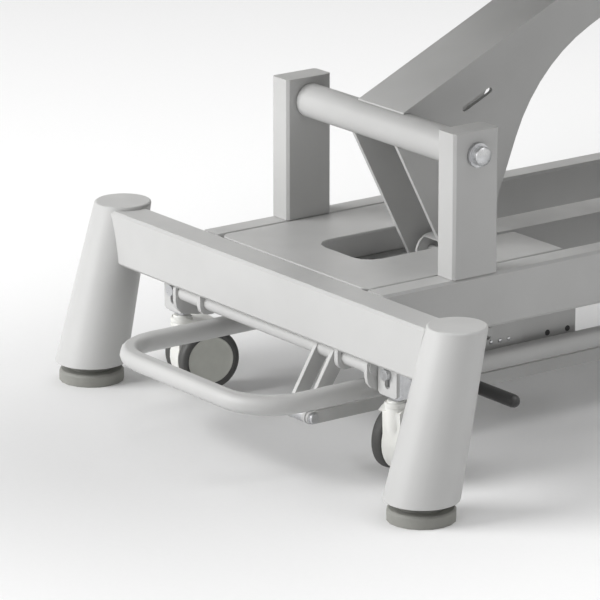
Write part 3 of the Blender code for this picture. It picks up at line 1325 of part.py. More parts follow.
def make_switch_housings():
    """A housing behind one plate at each end, for the switch that the foot loop works."""
    for name, end, side in (("near_switch_housing", NEAR, LEFT), ("far_switch_housing", FAR, LEFT)):
        face = BRACKET_FACE_X - BRACKET_PLATE - WELD_GAP
        xs = sorted((side * face, side * (face - 0.022)))
        ys = sorted((set_back(end, BRACKET_SET_BACK + 0.034), set_back(end, BRACKET_SET_BACK + 0.080)))
        low, high = BRACKET_BOTTOM + 0.005, LOW_OF_BEAM - 0.0015
        finish(box((xs[0], ys[0], low), (xs[1], ys[1], high), 0.002, 1), name, PLASTIC)


def make_control_box():
    width, length, height = CONTROL_BOX_SIZE
    high = BEAM_TOP - DECK_THICKNESS - WELD_GAP
    middle_y = set_back(FAR, DECK_SET_BACK + 0.110)
    body = box((-0.020, middle_y - length / 2, high - height), (-0.020 + width, middle_y + length / 2,
                                                                high), 0.006)
    socket_y = middle_y + length / 2
    inlet = box((0.010, socket_y - 0.012, high - 0.036), (0.036, socket_y + 0.010, high - 0.014))
    finish(cut(body, inlet), "control_box", PLASTIC)


make_crossbeams()
make_side_rails()
make_legs()
make_posts()
make_axles()
make_decks()
make_arms()
make_tie_bar()
make_actuator()
make_upper_frame()
make_top()
make_head_frame()
make_castor_shafts()
make_pedal_sleeve()
make_link_bar()
make_carriers()
make_castors()
make_foot_loop()
make_switch_housings()
make_control_box()
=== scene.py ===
"""Looks of the height-adjustable treatment table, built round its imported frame.

The steelwork, castors and mechanism come from the frame and get finishes and softened edges here. The
upholstered top, the castor wheels and the small fastenings are made in this file.
"""

import json
import math

import bmesh
import bpy
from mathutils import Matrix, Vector
from mathutils.bvhtree import BVHTree


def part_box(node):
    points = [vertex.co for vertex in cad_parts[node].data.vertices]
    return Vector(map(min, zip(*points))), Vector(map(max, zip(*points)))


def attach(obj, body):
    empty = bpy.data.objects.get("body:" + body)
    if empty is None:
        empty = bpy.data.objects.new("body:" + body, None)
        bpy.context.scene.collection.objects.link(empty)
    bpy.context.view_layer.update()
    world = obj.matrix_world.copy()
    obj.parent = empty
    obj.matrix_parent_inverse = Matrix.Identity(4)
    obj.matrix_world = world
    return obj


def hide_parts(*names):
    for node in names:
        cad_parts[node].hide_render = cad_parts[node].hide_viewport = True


bl_info = {
    "name": "Treatment Table Looks",
    "version": (1, 0, 0),
    "blender": (4, 5, 0),
    "location": "View3D > Sidebar > Treatment Table",
    "description": "Finishes, upholstery and studio for the treatment table",
    "category": "Object",
}

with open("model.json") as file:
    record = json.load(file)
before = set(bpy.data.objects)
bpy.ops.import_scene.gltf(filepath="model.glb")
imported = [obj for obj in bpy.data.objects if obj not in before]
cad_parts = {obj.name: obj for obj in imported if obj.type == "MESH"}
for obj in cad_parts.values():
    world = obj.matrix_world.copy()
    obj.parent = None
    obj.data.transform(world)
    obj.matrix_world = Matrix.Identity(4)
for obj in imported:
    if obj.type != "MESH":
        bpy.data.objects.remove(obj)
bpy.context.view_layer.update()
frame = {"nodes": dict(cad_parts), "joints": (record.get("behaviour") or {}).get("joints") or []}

MM = 0.001
CORNERS = ("near_left", "near_right", "far_left", "far_right")


def linear(code):
    """An sRGB hex colour as linear red, green and blue."""
    channels = [int(code[k:k + 2], 16) / 255 for k in (1, 3, 5)]
    return tuple(c / 12.92 if c <= 0.04045 else ((c + 0.055) / 1.055) ** 2.4 for c in channels)


def colour_property(name, code, description):
    return bpy.props.FloatVectorProperty(
        name=name, description=description, subtype="COLOR", size=3, min=0, max=1, default=linear(code))


def length_property(name, default, description):
    return bpy.props.FloatProperty(
        name=name, description=description, subtype="DISTANCE", unit="LENGTH", min=0, default=default)


class TableFinishes(bpy.types.PropertyGroup):
    """The colours of the table's materials."""
    powder: colour_property("Powder coat", "#cacac9", "Polyester powder coat on the steelwork")
    powder_dust: colour_property("Powder coat, thin", "#c2c2c1", "Where the coat lies a little thinner")
    zinc: colour_property("Zinc", "#d0d1d3", "Bright zinc plating on bolts and castor carriers")
    foot: colour_property("Foot rubber", "#8c8c87", "Grey thermoplastic rubber of the levelling feet")
    nylon: colour_property("Hood", "#e9e9e5", "White moulded nylon of the castor hoods")
    disc: colour_property("Wheel disc", "#c4c5be", "Grey moulded polypropylene of the wheel discs")
    tyre: colour_property("Tyre", "#454544", "Dark grey polyurethane tread")
    sleeve: colour_property("Pedal sleeve", "#2a2a2a", "Black vinyl sleeve and lever grip")
    housing: colour_property("Housings", "#d8d8d4", "Light grey ABS of the drive and switch housings")
    birch: colour_property("Board edge", "#c9a878", "Sawn edge of the birch plywood")
    birch_dark: colour_property("Board edge, glue", "#ad8756", "Darker plies and glue lines of the edge")
    film: colour_property("Board film", "#8d8d8b", "Grey phenolic film on the board's faces")
    # Painted shade: a darker colour laid into the creases of the cover's grain, where shade falls.
    cover: colour_property("Cover", "#66717d", "Coated upholstery fabric")
    cover_crease_shade: colour_property("Cover, creases", "#55606b", "Colour in the grain of the cover")
    thread: colour_property("Thread", "#8b96a1", "Polyester sewing thread")


class TableSizes(bpy.types.PropertyGroup):
    """Sizes of what this file makes."""
    steel_edge: length_property("Steel edge", 0.9 * MM, "Width of the softened edge on steelwork")
    small_edge: length_property("Small edge", 0.5 * MM, "Width of the softened edge on small pieces")
    moulded_edge: length_property("Moulded edge", 1.2 * MM, "Width of the softened edge on moulded plastic")
    voxel: length_property("Cover mesh", 7.5 * MM, "Voxel size of the cushion before it is blown up")
    shrink: length_property("Cushion shrink", 4 * MM, "How far the cushion starts inside its block")
    swell_cap: length_property("Swell cap", 7 * MM, "The furthest that a point of the cover may move")
    pressure: bpy.props.FloatProperty(
        name="Pressure", description="Cloth pressure in the cushion", default=4.0)
    seam_drop: length_property("Seam drop", 9 * MM, "From the cushion's top or bottom face to its welt")
    welt_radius: length_property("Welt radius", 2.1 * MM, "Radius of the welt sewn into the seams")
    stitch_pitch: length_property("Stitch pitch", 5 * MM, "From one stitch to the next")
    stitch_length: length_property("Stitch length", 3.6 * MM, "Length of one stitch")
    thread_radius: length_property("Thread radius", 0.4 * MM, "Half the thread's thickness")
    corner_radius: length_property("Top corner", 55 * MM, "Plan radius of the top's outer corners")
    wheel_radius: length_property("Wheel radius", 35 * MM, "Radius of a castor wheel")
    castor_width: length_property("Castor width", 54 * MM, "Over both wheels of a castor")
    wheel_width: length_property("Wheel width", 14.5 * MM, "Width of one castor wheel")
    strap_face: length_property("Strap face", 127.8 * MM, "From the middle to the outside of a loop strap")
    strap_screw: length_property("Strap screw", 467 * MM, "From the middle to the outermost strap screw")
    strap_screw_pitch: length_property("Strap screw pitch", 12 * MM, "From one strap screw to the next")
    strap_screw_height: length_property("Strap screw height", 106 * MM, "Height of the strap screws")
    screw_radius: length_property("Screw radius", 2.4 * MM, "Half the width of a strap screw's head")
    collar_radius: length_property("Collar radius", 12.4 * MM, "Half the width of a wheel guard's collar")
    collar_height: length_property("Collar height", 84.6 * MM, "Height of the collar's underside")
    bracket_face: length_property("Bracket face", 124.5 * MM, "From the middle to the face of a bracket")
    plug_height: length_property("Plug height", 101.5 * MM, "Height of the plugs in the brackets")


class StudioSettings(bpy.types.PropertyGroup):
    """Floor, lights and camera."""
    floor: colour_property("Floor", "#f5f5f5", "Seamless paper under the table")
    wall: colour_property("Wall", "#f3f2f0", "What the camera sees beyond the floor")
    floor_size: length_property("Floor size", 14.0, "Side of the floor")
    fade_start: length_property("Fade start", 2.2, "Distance at which the floor starts to fade into the wall")
    fade_end: length_property("Fade end", 4.6, "Distance at which the floor has the wall's colour")
    key_power: bpy.props.FloatProperty(
        name="Key light", description="Power of the key light in watts", default=181.0)
    top_power: bpy.props.FloatProperty(
        name="Top light", description="Power of the overhead light in watts", default=122.0)
    sky: bpy.props.FloatProperty(
        name="Sky", description="Strength of the even light from all round", default=0.275)
    camera_place: bpy.props.FloatVectorProperty(
        name="Camera", description="Place of the camera", subtype="XYZ", unit="LENGTH",
        default=(4.0631, -3.6246, 1.6346))
    camera_aim: bpy.props.FloatVectorProperty(
        name="Aim", description="Point that the camera looks at", subtype="XYZ", unit="LENGTH",
        default=(0.0225, -0.6448, 0.1594))
    lens: bpy.props.FloatProperty(name="Lens", description="Focal length in millimetres", default=293.77)


# Nodes and finishes

def add_node(tree, kind, settings=None, values=None, links=None):
    """Add a node: settings are its own properties, values its free sockets, links what feeds the others."""
    node = tree.nodes.new(kind)
    for name, value in (settings or {}).items():
        setattr(node, name, value)
    for socket, value in (values or {}).items():
        node.inputs[socket].default_value = value
    for socket, source in (links or {}).items():
        tree.links.new(source, node.inputs[socket])
    return node


def per_metre(pitch_mm):
    """Texture scale whose features lie this many millimetres apart."""
    return 1000.0 / pitch_mm


def new_finish(name, roughness, metallic=0.0, ior=1.5):
    material = bpy.data.materials.new(name)
    material.use_nodes = True
    tree = material.node_tree
    shader = tree.nodes["Principled BSDF"]
    shader.inputs["Roughness"].default_value = roughness
    shader.inputs["Metallic"].default_value = metallic
    if not metallic:
        shader.inputs["IOR"].default_value = ior
    place = add_node(tree, "ShaderNodeTexCoord").outputs["Object"]
    return material, tree, shader, place


def grain(tree, place, pitch_mm, detail=2.0, roughness=0.5, stretch=None):
    """Noise with features this many millimetres apart, drawn out along an axis where stretch says so."""
    if stretch:
        place = add_node(tree, "ShaderNodeMapping", values={"Scale": stretch},
                         links={"Vector": place}).outputs[0]
    return add_node(tree, "ShaderNodeTexNoise", values={"Scale": per_metre(pitch_mm), "Detail": detail,
                                                        "Roughness": roughness},
                    links={"Vector": place}).outputs["Fac"]


def spread(tree, value, low, high, from_low=0.3, from_high=0.7):
    """Map a pattern onto a range."""
    return add_node(tree, "ShaderNodeMapRange", values={"From Min": from_low, "From Max": from_high,
                                                        "To Min": low, "To Max": high},
                    links={"Value": value}).outputs["Result"]


def two_tone(tree, shader, pattern, first, second):
    mixed = add_node(tree, "ShaderNodeMix", settings={"data_type": "RGBA"},
                     links={"Factor": pattern})
    mixed.inputs["A"].default_value = (*first, 1)
    mixed.inputs["B"].default_value = (*second, 1)
    tree.links.new(mixed.outputs["Result"], shader.inputs["Base Color"])
    return mixed.outputs["Result"]


def rough_by(tree, shader, pattern, low, high):
    tree.links.new(spread(tree, pattern, low, high), shader.inputs["Roughness"])


def bump_by(tree, shader, height, depth_mm, strength=1.0, under=None):
    bump = add_node(tree, "ShaderNodeBump", values={"Strength": strength, "Distance": depth_mm * MM},
                    links={"Height": height})
    if under is not None:
        tree.links.new(under, bump.inputs["Normal"])
    tree.links.new(bump.outputs["Normal"], shader.inputs["Normal"])
    return bump.outputs["Normal"]


def shade_of(colour, factor):
    return tuple(min(1.0, c * factor) for c in colour)


def powder_coated_steel(finishes):
    """Mild steel, sprayed with polyester powder and baked: satin, with a fine orange peel."""
    material, tree, shader, place = new_finish("powder_coated_steel_baked", 0.42)
    cloud = grain(tree, place, 140, detail=3)
    two_tone(tree, shader, spread(tree, cloud, 0, 1), finishes.powder, finishes.powder_dust)
    rough_by(tree, shader, grain(tree, place, 35, detail=2), 0.38, 0.50)
    # The peel is about 1 mm across on the real coat; it is drawn at 2.5 mm so that it shows.
    peel = grain(tree, place, 2.5, detail=1)
    bump_by(tree, shader, peel, 0.03)
    return material


def zinc_plated_steel(finishes):
    """Turned and pressed steel, barrel plated in bright zinc: cool metal with a faint bloom."""
    material, tree, shader, place = new_finish("zinc_plated_steel_barrel_plated", 0.32, metallic=1.0)
    bloom = grain(tree, place, 6, detail=4, roughness=0.6)
    two_tone(tree, shader, spread(tree, bloom, 0, 1), finishes.zinc, shade_of(finishes.zinc, 0.86))
    rough_by(tree, shader, grain(tree, place, 3, detail=2), 0.26, 0.42)
    bump_by(tree, shader, grain(tree, place, 1.2, detail=2), 0.01)
    return material


def foot_rubber(finishes):
    """Thermoplastic rubber, injection moulded: matt, with a dusty grain that catches scuffs."""
    material, tree, shader, place = new_finish("thermoplastic_rubber_moulded", 0.62, ior=1.52)
    dust = grain(tree, place, 18, detail=4, roughness=0.65)
    two_tone(tree, shader, spread(tree, dust, 0, 1), finishes.foot, shade_of(finishes.foot, 1.14))
    rough_by(tree, shader, dust, 0.55, 0.72)
    bump_by(tree, shader, grain(tree, place, 1.1, detail=2), 0.05)
    return material


def white_nylon(finishes):
    """Polyamide, injection moulded in a spark-eroded mould: soft sheen and a fine even texture."""
    material, tree, shader, place = new_finish("polyamide_moulded", 0.40, ior=1.53)
    shader.inputs["Subsurface Weight"].default_value = 0.06
    shader.inputs["Subsurface Radius"].default_value = (0.004, 0.004, 0.003)
    shader.inputs["Subsurface Scale"].default_value = 0.5
    tone = grain(tree, place, 25, detail=2)
    two_tone(tree, shader, spread(tree, tone, 0, 1), finishes.nylon, shade_of(finishes.nylon, 0.95))
    rough_by(tree, shader, grain(tree, place, 9, detail=2), 0.34, 0.46)
    # Spark-eroded texture is about 0.1 mm; drawn at 0.9 mm so that it shows.
    bump_by(tree, shader, grain(tree, place, 0.9, detail=1), 0.02)
    return material


def wheel_disc_plastic(finishes):
    """Polypropylene, injection moulded and grey right through: matt and slightly waxy."""
    material, tree, shader, place = new_finish("polypropylene_moulded", 0.52, ior=1.49)
    tone = grain(tree, place, 12, detail=3)
    two_tone(tree, shader, spread(tree, tone, 0, 1), finishes.disc, shade_of(finishes.disc, 0.93))
    rough_by(tree, shader, tone, 0.46, 0.60)
    bump_by(tree, shader, grain(tree, place, 0.8, detail=1), 0.02)
    return material


def polyurethane_tyre(finishes):
    """Cast polyurethane tread: dull where it rolls, a little shine at the shoulders, dust in the pores."""
    material, tree, shader, place = new_finish("polyurethane_cast", 0.55, ior=1.5)
    dust = grain(tree, place, 7, detail=4, roughness=0.65)
    two_tone(tree, shader, spread(tree, dust, 0, 1), finishes.tyre, shade_of(finishes.tyre, 1.35))
    rough_by(tree, shader, dust, 0.45, 0.68)
    bump_by(tree, shader, grain(tree, place, 1.0, detail=2), 0.04)
    return material


def black_vinyl(finishes):
    """Plasticised vinyl, dip moulded: near black, with a soft broad highlight."""
    material, tree, shader, place = new_finish("vinyl_dip_moulded", 0.45, ior=1.54)
    tone = grain(tree, place, 10, detail=2)
    two_tone(tree, shader, spread(tree, tone, 0, 1), finishes.sleeve, shade_of(finishes.sleeve, 1.4))
    rough_by(tree, shader, tone, 0.38, 0.55)
    bump_by(tree, shader, grain(tree, place, 1.4, detail=2), 0.04)
    return material


def light_abs(finishes):
    """ABS, injection moulded with a spark-eroded texture: even, low gloss."""
    material, tree, shader, place = new_finish("abs_moulded", 0.50, ior=1.53)
    tone = grain(tree, place, 45, detail=2)
    two_tone(tree, shader, spread(tree, tone, 0, 1), finishes.housing, shade_of(finishes.housing, 0.95))
    rough_by(tree, shader, grain(tree, place, 14, detail=2), 0.44, 0.58)
    bump_by(tree, shader, grain(tree, place, 0.9, detail=1), 0.03)
    return material


def film_faced_plywood(finishes):
    """Birch plywood, pressed between phenolic films, edges sawn and sealed: grey faces, striped edges."""
    material, tree, shader, place = new_finish("birch_plywood_film_faced", 0.5, ior=1.5)
    parts = add_node(tree, "ShaderNodeSeparateXYZ", links={"Vector": place})
    ply_pitch_mm = 1.5
    plies = add_node(tree, "ShaderNodeMath", settings={"operation": "PINGPONG"},
                     values={1: ply_pitch_mm * MM}, links={0: parts.outputs["Z"]}).outputs[0]
    stripe = spread(tree, plies, 0, 1, 0.4 * ply_pitch_mm * MM, 0.6 * ply_pitch_mm * MM)
    facing = add_node(tree, "ShaderNodeSeparateXYZ",
                      links={"Vector": add_node(tree, "ShaderNodeNewGeometry").outputs["Normal"]}).outputs["Z"]
    flat = add_node(tree, "ShaderNodeMath", settings={"operation": "ABSOLUTE"},
                    links={0: facing}).outputs[0]
    mostly_up = 0.7
    on_face = add_node(tree, "ShaderNodeMath", settings={"operation": "GREATER_THAN"}, values={1: mostly_up},
                       links={0: flat}).outputs[0]
    cloud = grain(tree, place, 60, detail=4)
    edge = two_tone(tree, shader, stripe, finishes.birch, finishes.birch_dark)
    face = two_tone(tree, shader, spread(tree, cloud, 0, 1), finishes.film, shade_of(finishes.film, 0.92))
    both = add_node(tree, "ShaderNodeMix", settings={"data_type": "RGBA"},
                    links={"Factor": on_face, "A": edge, "B": face}).outputs["Result"]
    tree.links.new(both, shader.inputs["Base Color"])
    rough_by(tree, shader, cloud, 0.40, 0.55)
    bump_by(tree, shader, grain(tree, place, 3, detail=2, stretch=(1.0, 0.2, 1.0)), 0.03)
    return material


def coated_cover(finishes):
    """Polyurethane-coated knit, embossed like leather: soft sheen over a pebbled grain with fine creases, and
    painted shade darkening the creases.
    """
    material, tree, shader, place = new_finish("polyurethane_leathercloth_embossed", 0.46, ior=1.48)
    # The embossed pebbles are about 1 mm; drawn at 3 mm so that they show on a 2 m top.
    pebble = add_node(tree, "ShaderNodeTexVoronoi", settings={"feature": "DISTANCE_TO_EDGE"},
                      values={"Scale": per_metre(3.0), "Randomness": 0.9},
                      links={"Vector": place}).outputs["Distance"]
    # Painted shade: the grain's creases near the pebble edges are coloured darker, and the wave varies this at
    # random.
    painted_crease_shade = spread(tree, pebble, 1, 0, 0.0, 0.12)
    wave = grain(tree, place, 90, detail=3)
    tone = add_node(tree, "ShaderNodeMath", settings={"operation": "MULTIPLY"},
                    links={0: painted_crease_shade, 1: spread(tree, wave, 0.35, 0.9)}).outputs[0]
    two_tone(tree, shader, tone, finishes.cover, finishes.cover_crease_shade)
    rough_by(tree, shader, wave, 0.40, 0.52)
    shader.inputs["Sheen Weight"].default_value = 0.08
    shader.inputs["Sheen Roughness"].default_value = 0.5
    low_wave = bump_by(tree, shader, grain(tree, place, 26, detail=2), 0.25, strength=0.6)
    bump_by(tree, shader, spread(tree, pebble, 0, 1, 0.0, 0.2), 0.12, under=low_wave)
    return material


def sewing_thread(finishes):
    """Bonded polyester thread, twisted: a dull sheen, with the twist as slanting ribs."""
    material, tree, shader, place = new_finish("polyester_thread_twisted", 0.6)
    twist = add_node(tree, "ShaderNodeTexWave", settings={"bands_direction": "DIAGONAL"},
                     values={"Scale": per_metre(3.0), "Distortion": 0.4},
                     links={"Vector": place}).outputs["Fac"]
    two_tone(tree, shader, twist, finishes.thread, shade_of(finishes.thread, 0.8))
    bump_by(tree, shader, twist, 0.1)
    return material


FINISH_OF_SLOT = {
    "powder_coated_steel": powder_coated_steel,
    "zinc_plated_steel": zinc_plated_steel,
    "grey_rubber": foot_rubber,
    "white_nylon": white_nylon,
    "wheel_rubber": polyurethane_tyre,
    "black_rubber": black_vinyl,
    "light_plastic": light_abs,
    "plywood": film_faced_plywood,
    "cushion_cover": coated_cover,
}
MADE = {}


def finish_of(maker):
    """The one material that this maker gives, made when first asked for."""
    if maker.__name__ not in MADE:
        MADE[maker.__name__] = maker(bpy.context.scene.table_finishes)
    return MADE[maker.__name__]


def slot_of(node):
    """The record's slot of a frame node, from the name of the material it came with."""
    return frame["nodes"][node].data.materials[0].name.split(".")[0]


# Shapes

def join_and_shade_group():
    """Node group that joins the frame's loose triangles and smooths all but the crisp edges."""
    name = "join_and_shade"
    if name in bpy.data.node_groups:
        return bpy.data.node_groups[name]
    group = bpy.data.node_groups.new(name, "GeometryNodeTree")
    for way in ("INPUT", "OUTPUT"):
        group.interface.new_socket("Geometry", in_out=way, socket_type="NodeSocketGeometry")
    start = group.nodes.new("NodeGroupInput").outputs["Geometry"]
    joined = add_node(group, "GeometryNodeMergeByDistance", values={"Distance": 0.01 * MM},
                      links={"Geometry": start}).outputs[0]
    faces = add_node(group, "GeometryNodeSetShadeSmooth", settings={"domain": "FACE"},
                     values={"Shade Smooth": True}, links={"Geometry": joined}).outputs[0]
    angle = add_node(group, "GeometryNodeInputMeshEdgeAngle").outputs["Unsigned Angle"]
    gentle = add_node(group, "FunctionNodeCompare", settings={"operation": "LESS_THAN"},
                      values={1: math.radians(38)}, links={0: angle}).outputs[0]
    edges = add_node(group, "GeometryNodeSetShadeSmooth", settings={"domain": "EDGE"},
                     links={"Geometry": faces, "Shade Smooth": gentle}).outputs[0]
    end = group.nodes.new("NodeGroupOutput")
    group.links.new(edges, end.inputs["Geometry"])
    return group


def soften(obj, width):
    """Round a frame node's edges: join its triangles, merge flat ones, bevel, then even out the shading."""
    obj.modifiers.new("join", "NODES").node_group = join_and_shade_group()
    flat = obj.modifiers.new("flat_faces", "DECIMATE")
    flat.decimate_type = "DISSOLVE"
    flat.angle_limit = math.radians(0.5)
    bevel = obj.modifiers.new("edges", "BEVEL")
    bevel.width = width
    bevel.segments = 2
    bevel.limit_method = "ANGLE"
    bevel.angle_limit = math.radians(38)
    bevel.use_clamp_overlap = True
    even = obj.modifiers.new("even_shading", "WEIGHTED_NORMAL")
    even.keep_sharp = True


def new_piece(name, bm, maker, body=None, smooth_below=40):
    """Make an object of a bmesh, with its finish and the body it rides on."""
    mesh = bpy.data.meshes.new(name)
    bm.to_mesh(mesh)
    bm.free()
    mesh.materials.append(finish_of(maker))
    mesh.shade_smooth()
    mesh.set_sharp_from_angle(angle=math.radians(smooth_below))
    obj = bpy.data.objects.new(name, mesh)
    bpy.context.scene.collection.objects.link(obj)
    if body:
        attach(obj, body)
    return obj


def frame_along(axis):
    """Two directions square to an axis."""
    axis = Vector(axis).normalized()
    side = axis.orthogonal().normalized()
    return side, axis.cross(side)


def turn_profile(bm, profile, start, axis, steps=40):
    """Revolve a closed profile of (radius, distance) points about an axis through start."""
    axis = Vector(axis).normalized()
    first, second = frame_along(axis)
    start = Vector(start)
    rings = []
    for radius, distance in profile:
        centre = start + axis * distance
        if radius < 1e-7:
            rings.append([bm.verts.new(centre)])
            continue
        angles = [2 * math.pi * k / steps for k in range(steps)]
        around = [first * math.cos(a) + second * math.sin(a) for a in angles]
        rings.append([bm.verts.new(centre + radius * way) for way in around])
    for low, high in zip(rings, rings[1:] + rings[:1]):
        if len(low) == 1 and len(high) == 1:
            continue
        for k in range(steps):
            j = (k + 1) % steps
            corners = [low[k % len(low)], low[j % len(low)], high[j % len(high)], high[k % len(high)]]
            bm.faces.new(list(dict.fromkeys(corners)))


def tube(bm, points, radius, steps=8, closed=False):
    """Sweep a round section along points; open ends are capped."""
    points = [Vector(p) for p in points]
    count = len(points)
    rings = []
    up = Vector((0, 0, 1))
    for k, point in enumerate(points):
        ahead = points[(k + 1) % count] if closed or k + 1 < count else point
        behind = points[k - 1] if closed or k else point
        along = (ahead - behind).normalized()
        side = along.cross(up)
        side = side.normalized() if side.length > 1e-6 else along.orthogonal().normalized()
        rise = side.cross(along)
        angles = [2 * math.pi * j / steps for j in range(steps)]
        around = [side * math.cos(a) + rise * math.sin(a) for a in angles]
        rings.append([bm.verts.new(point + radius * way) for way in around])
    pairs = list(zip(rings, rings[1:])) + ([(rings[-1], rings[0])] if closed else [])
    for low, high in pairs:
        for j in range(steps):
            bm.faces.new((low[j], low[(j + 1) % steps], high[(j + 1) % steps], high[j]))
    if not closed:
        bm.faces.new(list(reversed(rings[0])))
        bm.faces.new(rings[-1])


def closed_up(bm):
    """Weld doubled points and turn every face outwards."""
    bmesh.ops.remove_doubles(bm, verts=bm.verts, dist=0.001 * MM)
    bmesh.ops.recalc_face_normals(bm, faces=bm.faces)
    return bm


# Upholstered top

def frame_copy(node):
    """The frame node's solid as a bmesh with its triangles joined."""
    bm = bmesh.new()
    bm.from_mesh(frame["nodes"][node].data)
    bmesh.ops.remove_doubles(bm, verts=bm.verts, dist=0.01 * MM)
    return bm


def evaluated_mesh(obj):
    graph = bpy.context.evaluated_depsgraph_get()
    graph.update()
    return bpy.data.meshes.new_from_object(obj.evaluated_get(graph))


def blow_up(obj, low_z, sizes):
    """Inflate a foam block's cover a little by cloth pressure, holding its underside flat."""
    held = obj.vertex_groups.new(name="held")
    bottom = [v.index for v in obj.data.vertices if v.co.z < low_z + 0.5 * sizes.voxel]
    held.add(bottom, 1.0, "REPLACE")
    cloth = obj.modifiers.new("cover", "CLOTH")
    cloth.settings.quality = 4
    cloth.settings.mass = 0.3
    cloth.settings.tension_stiffness = 25
    cloth.settings.compression_stiffness = 25
    cloth.settings.bending_stiffness = 1.5
    cloth.settings.use_pressure = True
    cloth.settings.uniform_pressure_force = sizes.pressure
    cloth.settings.vertex_group_mass = "held"
    cloth.settings.effector_weights.gravity = 0
    last_step = 14
    cloth.point_cache.frame_start = 1
    cloth.point_cache.frame_end = last_step
    rest = [v.co.copy() for v in obj.data.vertices]
    scene = bpy.context.scene
    for step in range(1, last_step + 1):
        scene.frame_set(step)
    swollen = evaluated_mesh(obj)
    for vertex, home in zip(swollen.vertices, rest):
        moved = vertex.co - home
        if moved.length > sizes.swell_cap:
            vertex.co = home + moved.normalized() * sizes.swell_cap
    obj.modifiers.clear()
    obj.vertex_groups.clear()
    obj.data = swollen
    scene.frame_set(1)


def applied(obj, kind, **settings):
    """Add a modifier with these settings and apply it."""
    modifier = obj.modifiers.new(kind.lower(), kind)
    for name, value in settings.items():
        setattr(modifier, name, value)
    mesh = evaluated_mesh(obj)
    obj.modifiers.clear()
    obj.data = mesh


def plan_outline(low, high, near_radius, far_radius, pitch=0.004):
    """Points round a rounded rectangle in plan, with their outward directions."""
    corners = [((low.x, low.y), near_radius, 180), ((high.x, low.y), near_radius, 270),
               ((high.x, high.y), far_radius, 0), ((low.x, high.y), far_radius, 90)]
    signs = ((1, 1), (-1, 1), (-1, -1), (1, -1))
    path = []
    for (corner, radius, start), sign in zip(corners, signs):
        centre = Vector((corner[0] + sign[0] * radius, corner[1] + sign[1] * radius))
        steps = max(3, round(radius * math.pi / 2 / pitch))
        for k in range(steps + 1):
            angle = math.radians(start + 90 * k / steps)
            way = Vector((math.cos(angle), math.sin(angle)))
            path.append((centre + way * radius, way))
    dense = []
    for (a, way_a), (b, way_b) in zip(path, path[1:] + path[:1]):
        steps = max(1, round((b - a).length / pitch))
        dense += [(a.lerp(b, k / steps), way_a.lerp(way_b, k / steps).normalized()) for k in range(steps)]
    return dense


def hole_outline(centre, half_width, half_length, steps=110):
    """Points round the face opening, with directions that point into the opening."""
    points = []
    for k in range(steps):
        angle = 2 * math.pi * k / steps
        place = Vector((half_width * math.cos(angle), half_length * math.sin(angle)))
        out = Vector((place.x / half_width ** 2, place.y / half_length ** 2)).normalized()
        points.append((centre + place, -out))
    return points


def on_surface(tree, outline, z):
    """Where rays from outside the outline meet the cushion at one height."""
    # A ray that runs right along a mesh edge can slip through, so each starts a hair to the side.
    aside = Vector((0.07, 0.05, 0.03)) * MM
    stand_back = 0.03
    found = []
    for place, way in outline:
        edge, out = Vector((place.x, place.y, z)), Vector((way.x, way.y, 0))
        hit = tree.ray_cast(edge + out * stand_back + aside, -out, 2 * stand_back)[0]
        found.append(hit if hit else tree.find_nearest(edge)[0])
    return found


def stitches(bm, points, sizes):
    """Short threads laid nose to tail along a closed line."""
    lengths = [0.0]
    for a, b in zip(points, points[1:] + points[:1]):
        lengths.append(lengths[-1] + (b - a).length)
    count = int(lengths[-1] / sizes.stitch_pitch)
    pitch = lengths[-1] / count
    index = 0
    for k in range(count):
        start = k * pitch
        while lengths[index + 1] < start:
            index += 1
        a, b = points[index], points[(index + 1) % len(points)]
        along = (b - a).normalized()
        place = a + along * (start - lengths[index])
        half = along * sizes.stitch_length / 2
        dip = Vector((0, 0, -0.5 * sizes.thread_radius))
        tube(bm, [place - half + dip, place - half * 0.6, place + half * 0.6, place + half + dip],
             sizes.thread_radius, 5)


def carve_seams(obj, low, high, sizes):
    """Press the seam lines into the cover: a soft channel round the band at each welt."""
    half_width = 2.2 * sizes.welt_radius
    depth = 0.6 * sizes.welt_radius
    for vertex in obj.data.vertices:
        normal = vertex.normal
        for z in (low.z + sizes.seam_drop, high.z - sizes.seam_drop):
            away = abs(vertex.co.z - z) / half_width
            if away < 1 and abs(normal.z) < 0.8:
                fall = (1 - away * away) ** 2
                vertex.co -= Vector((normal.x, normal.y, 0)) * depth * fall


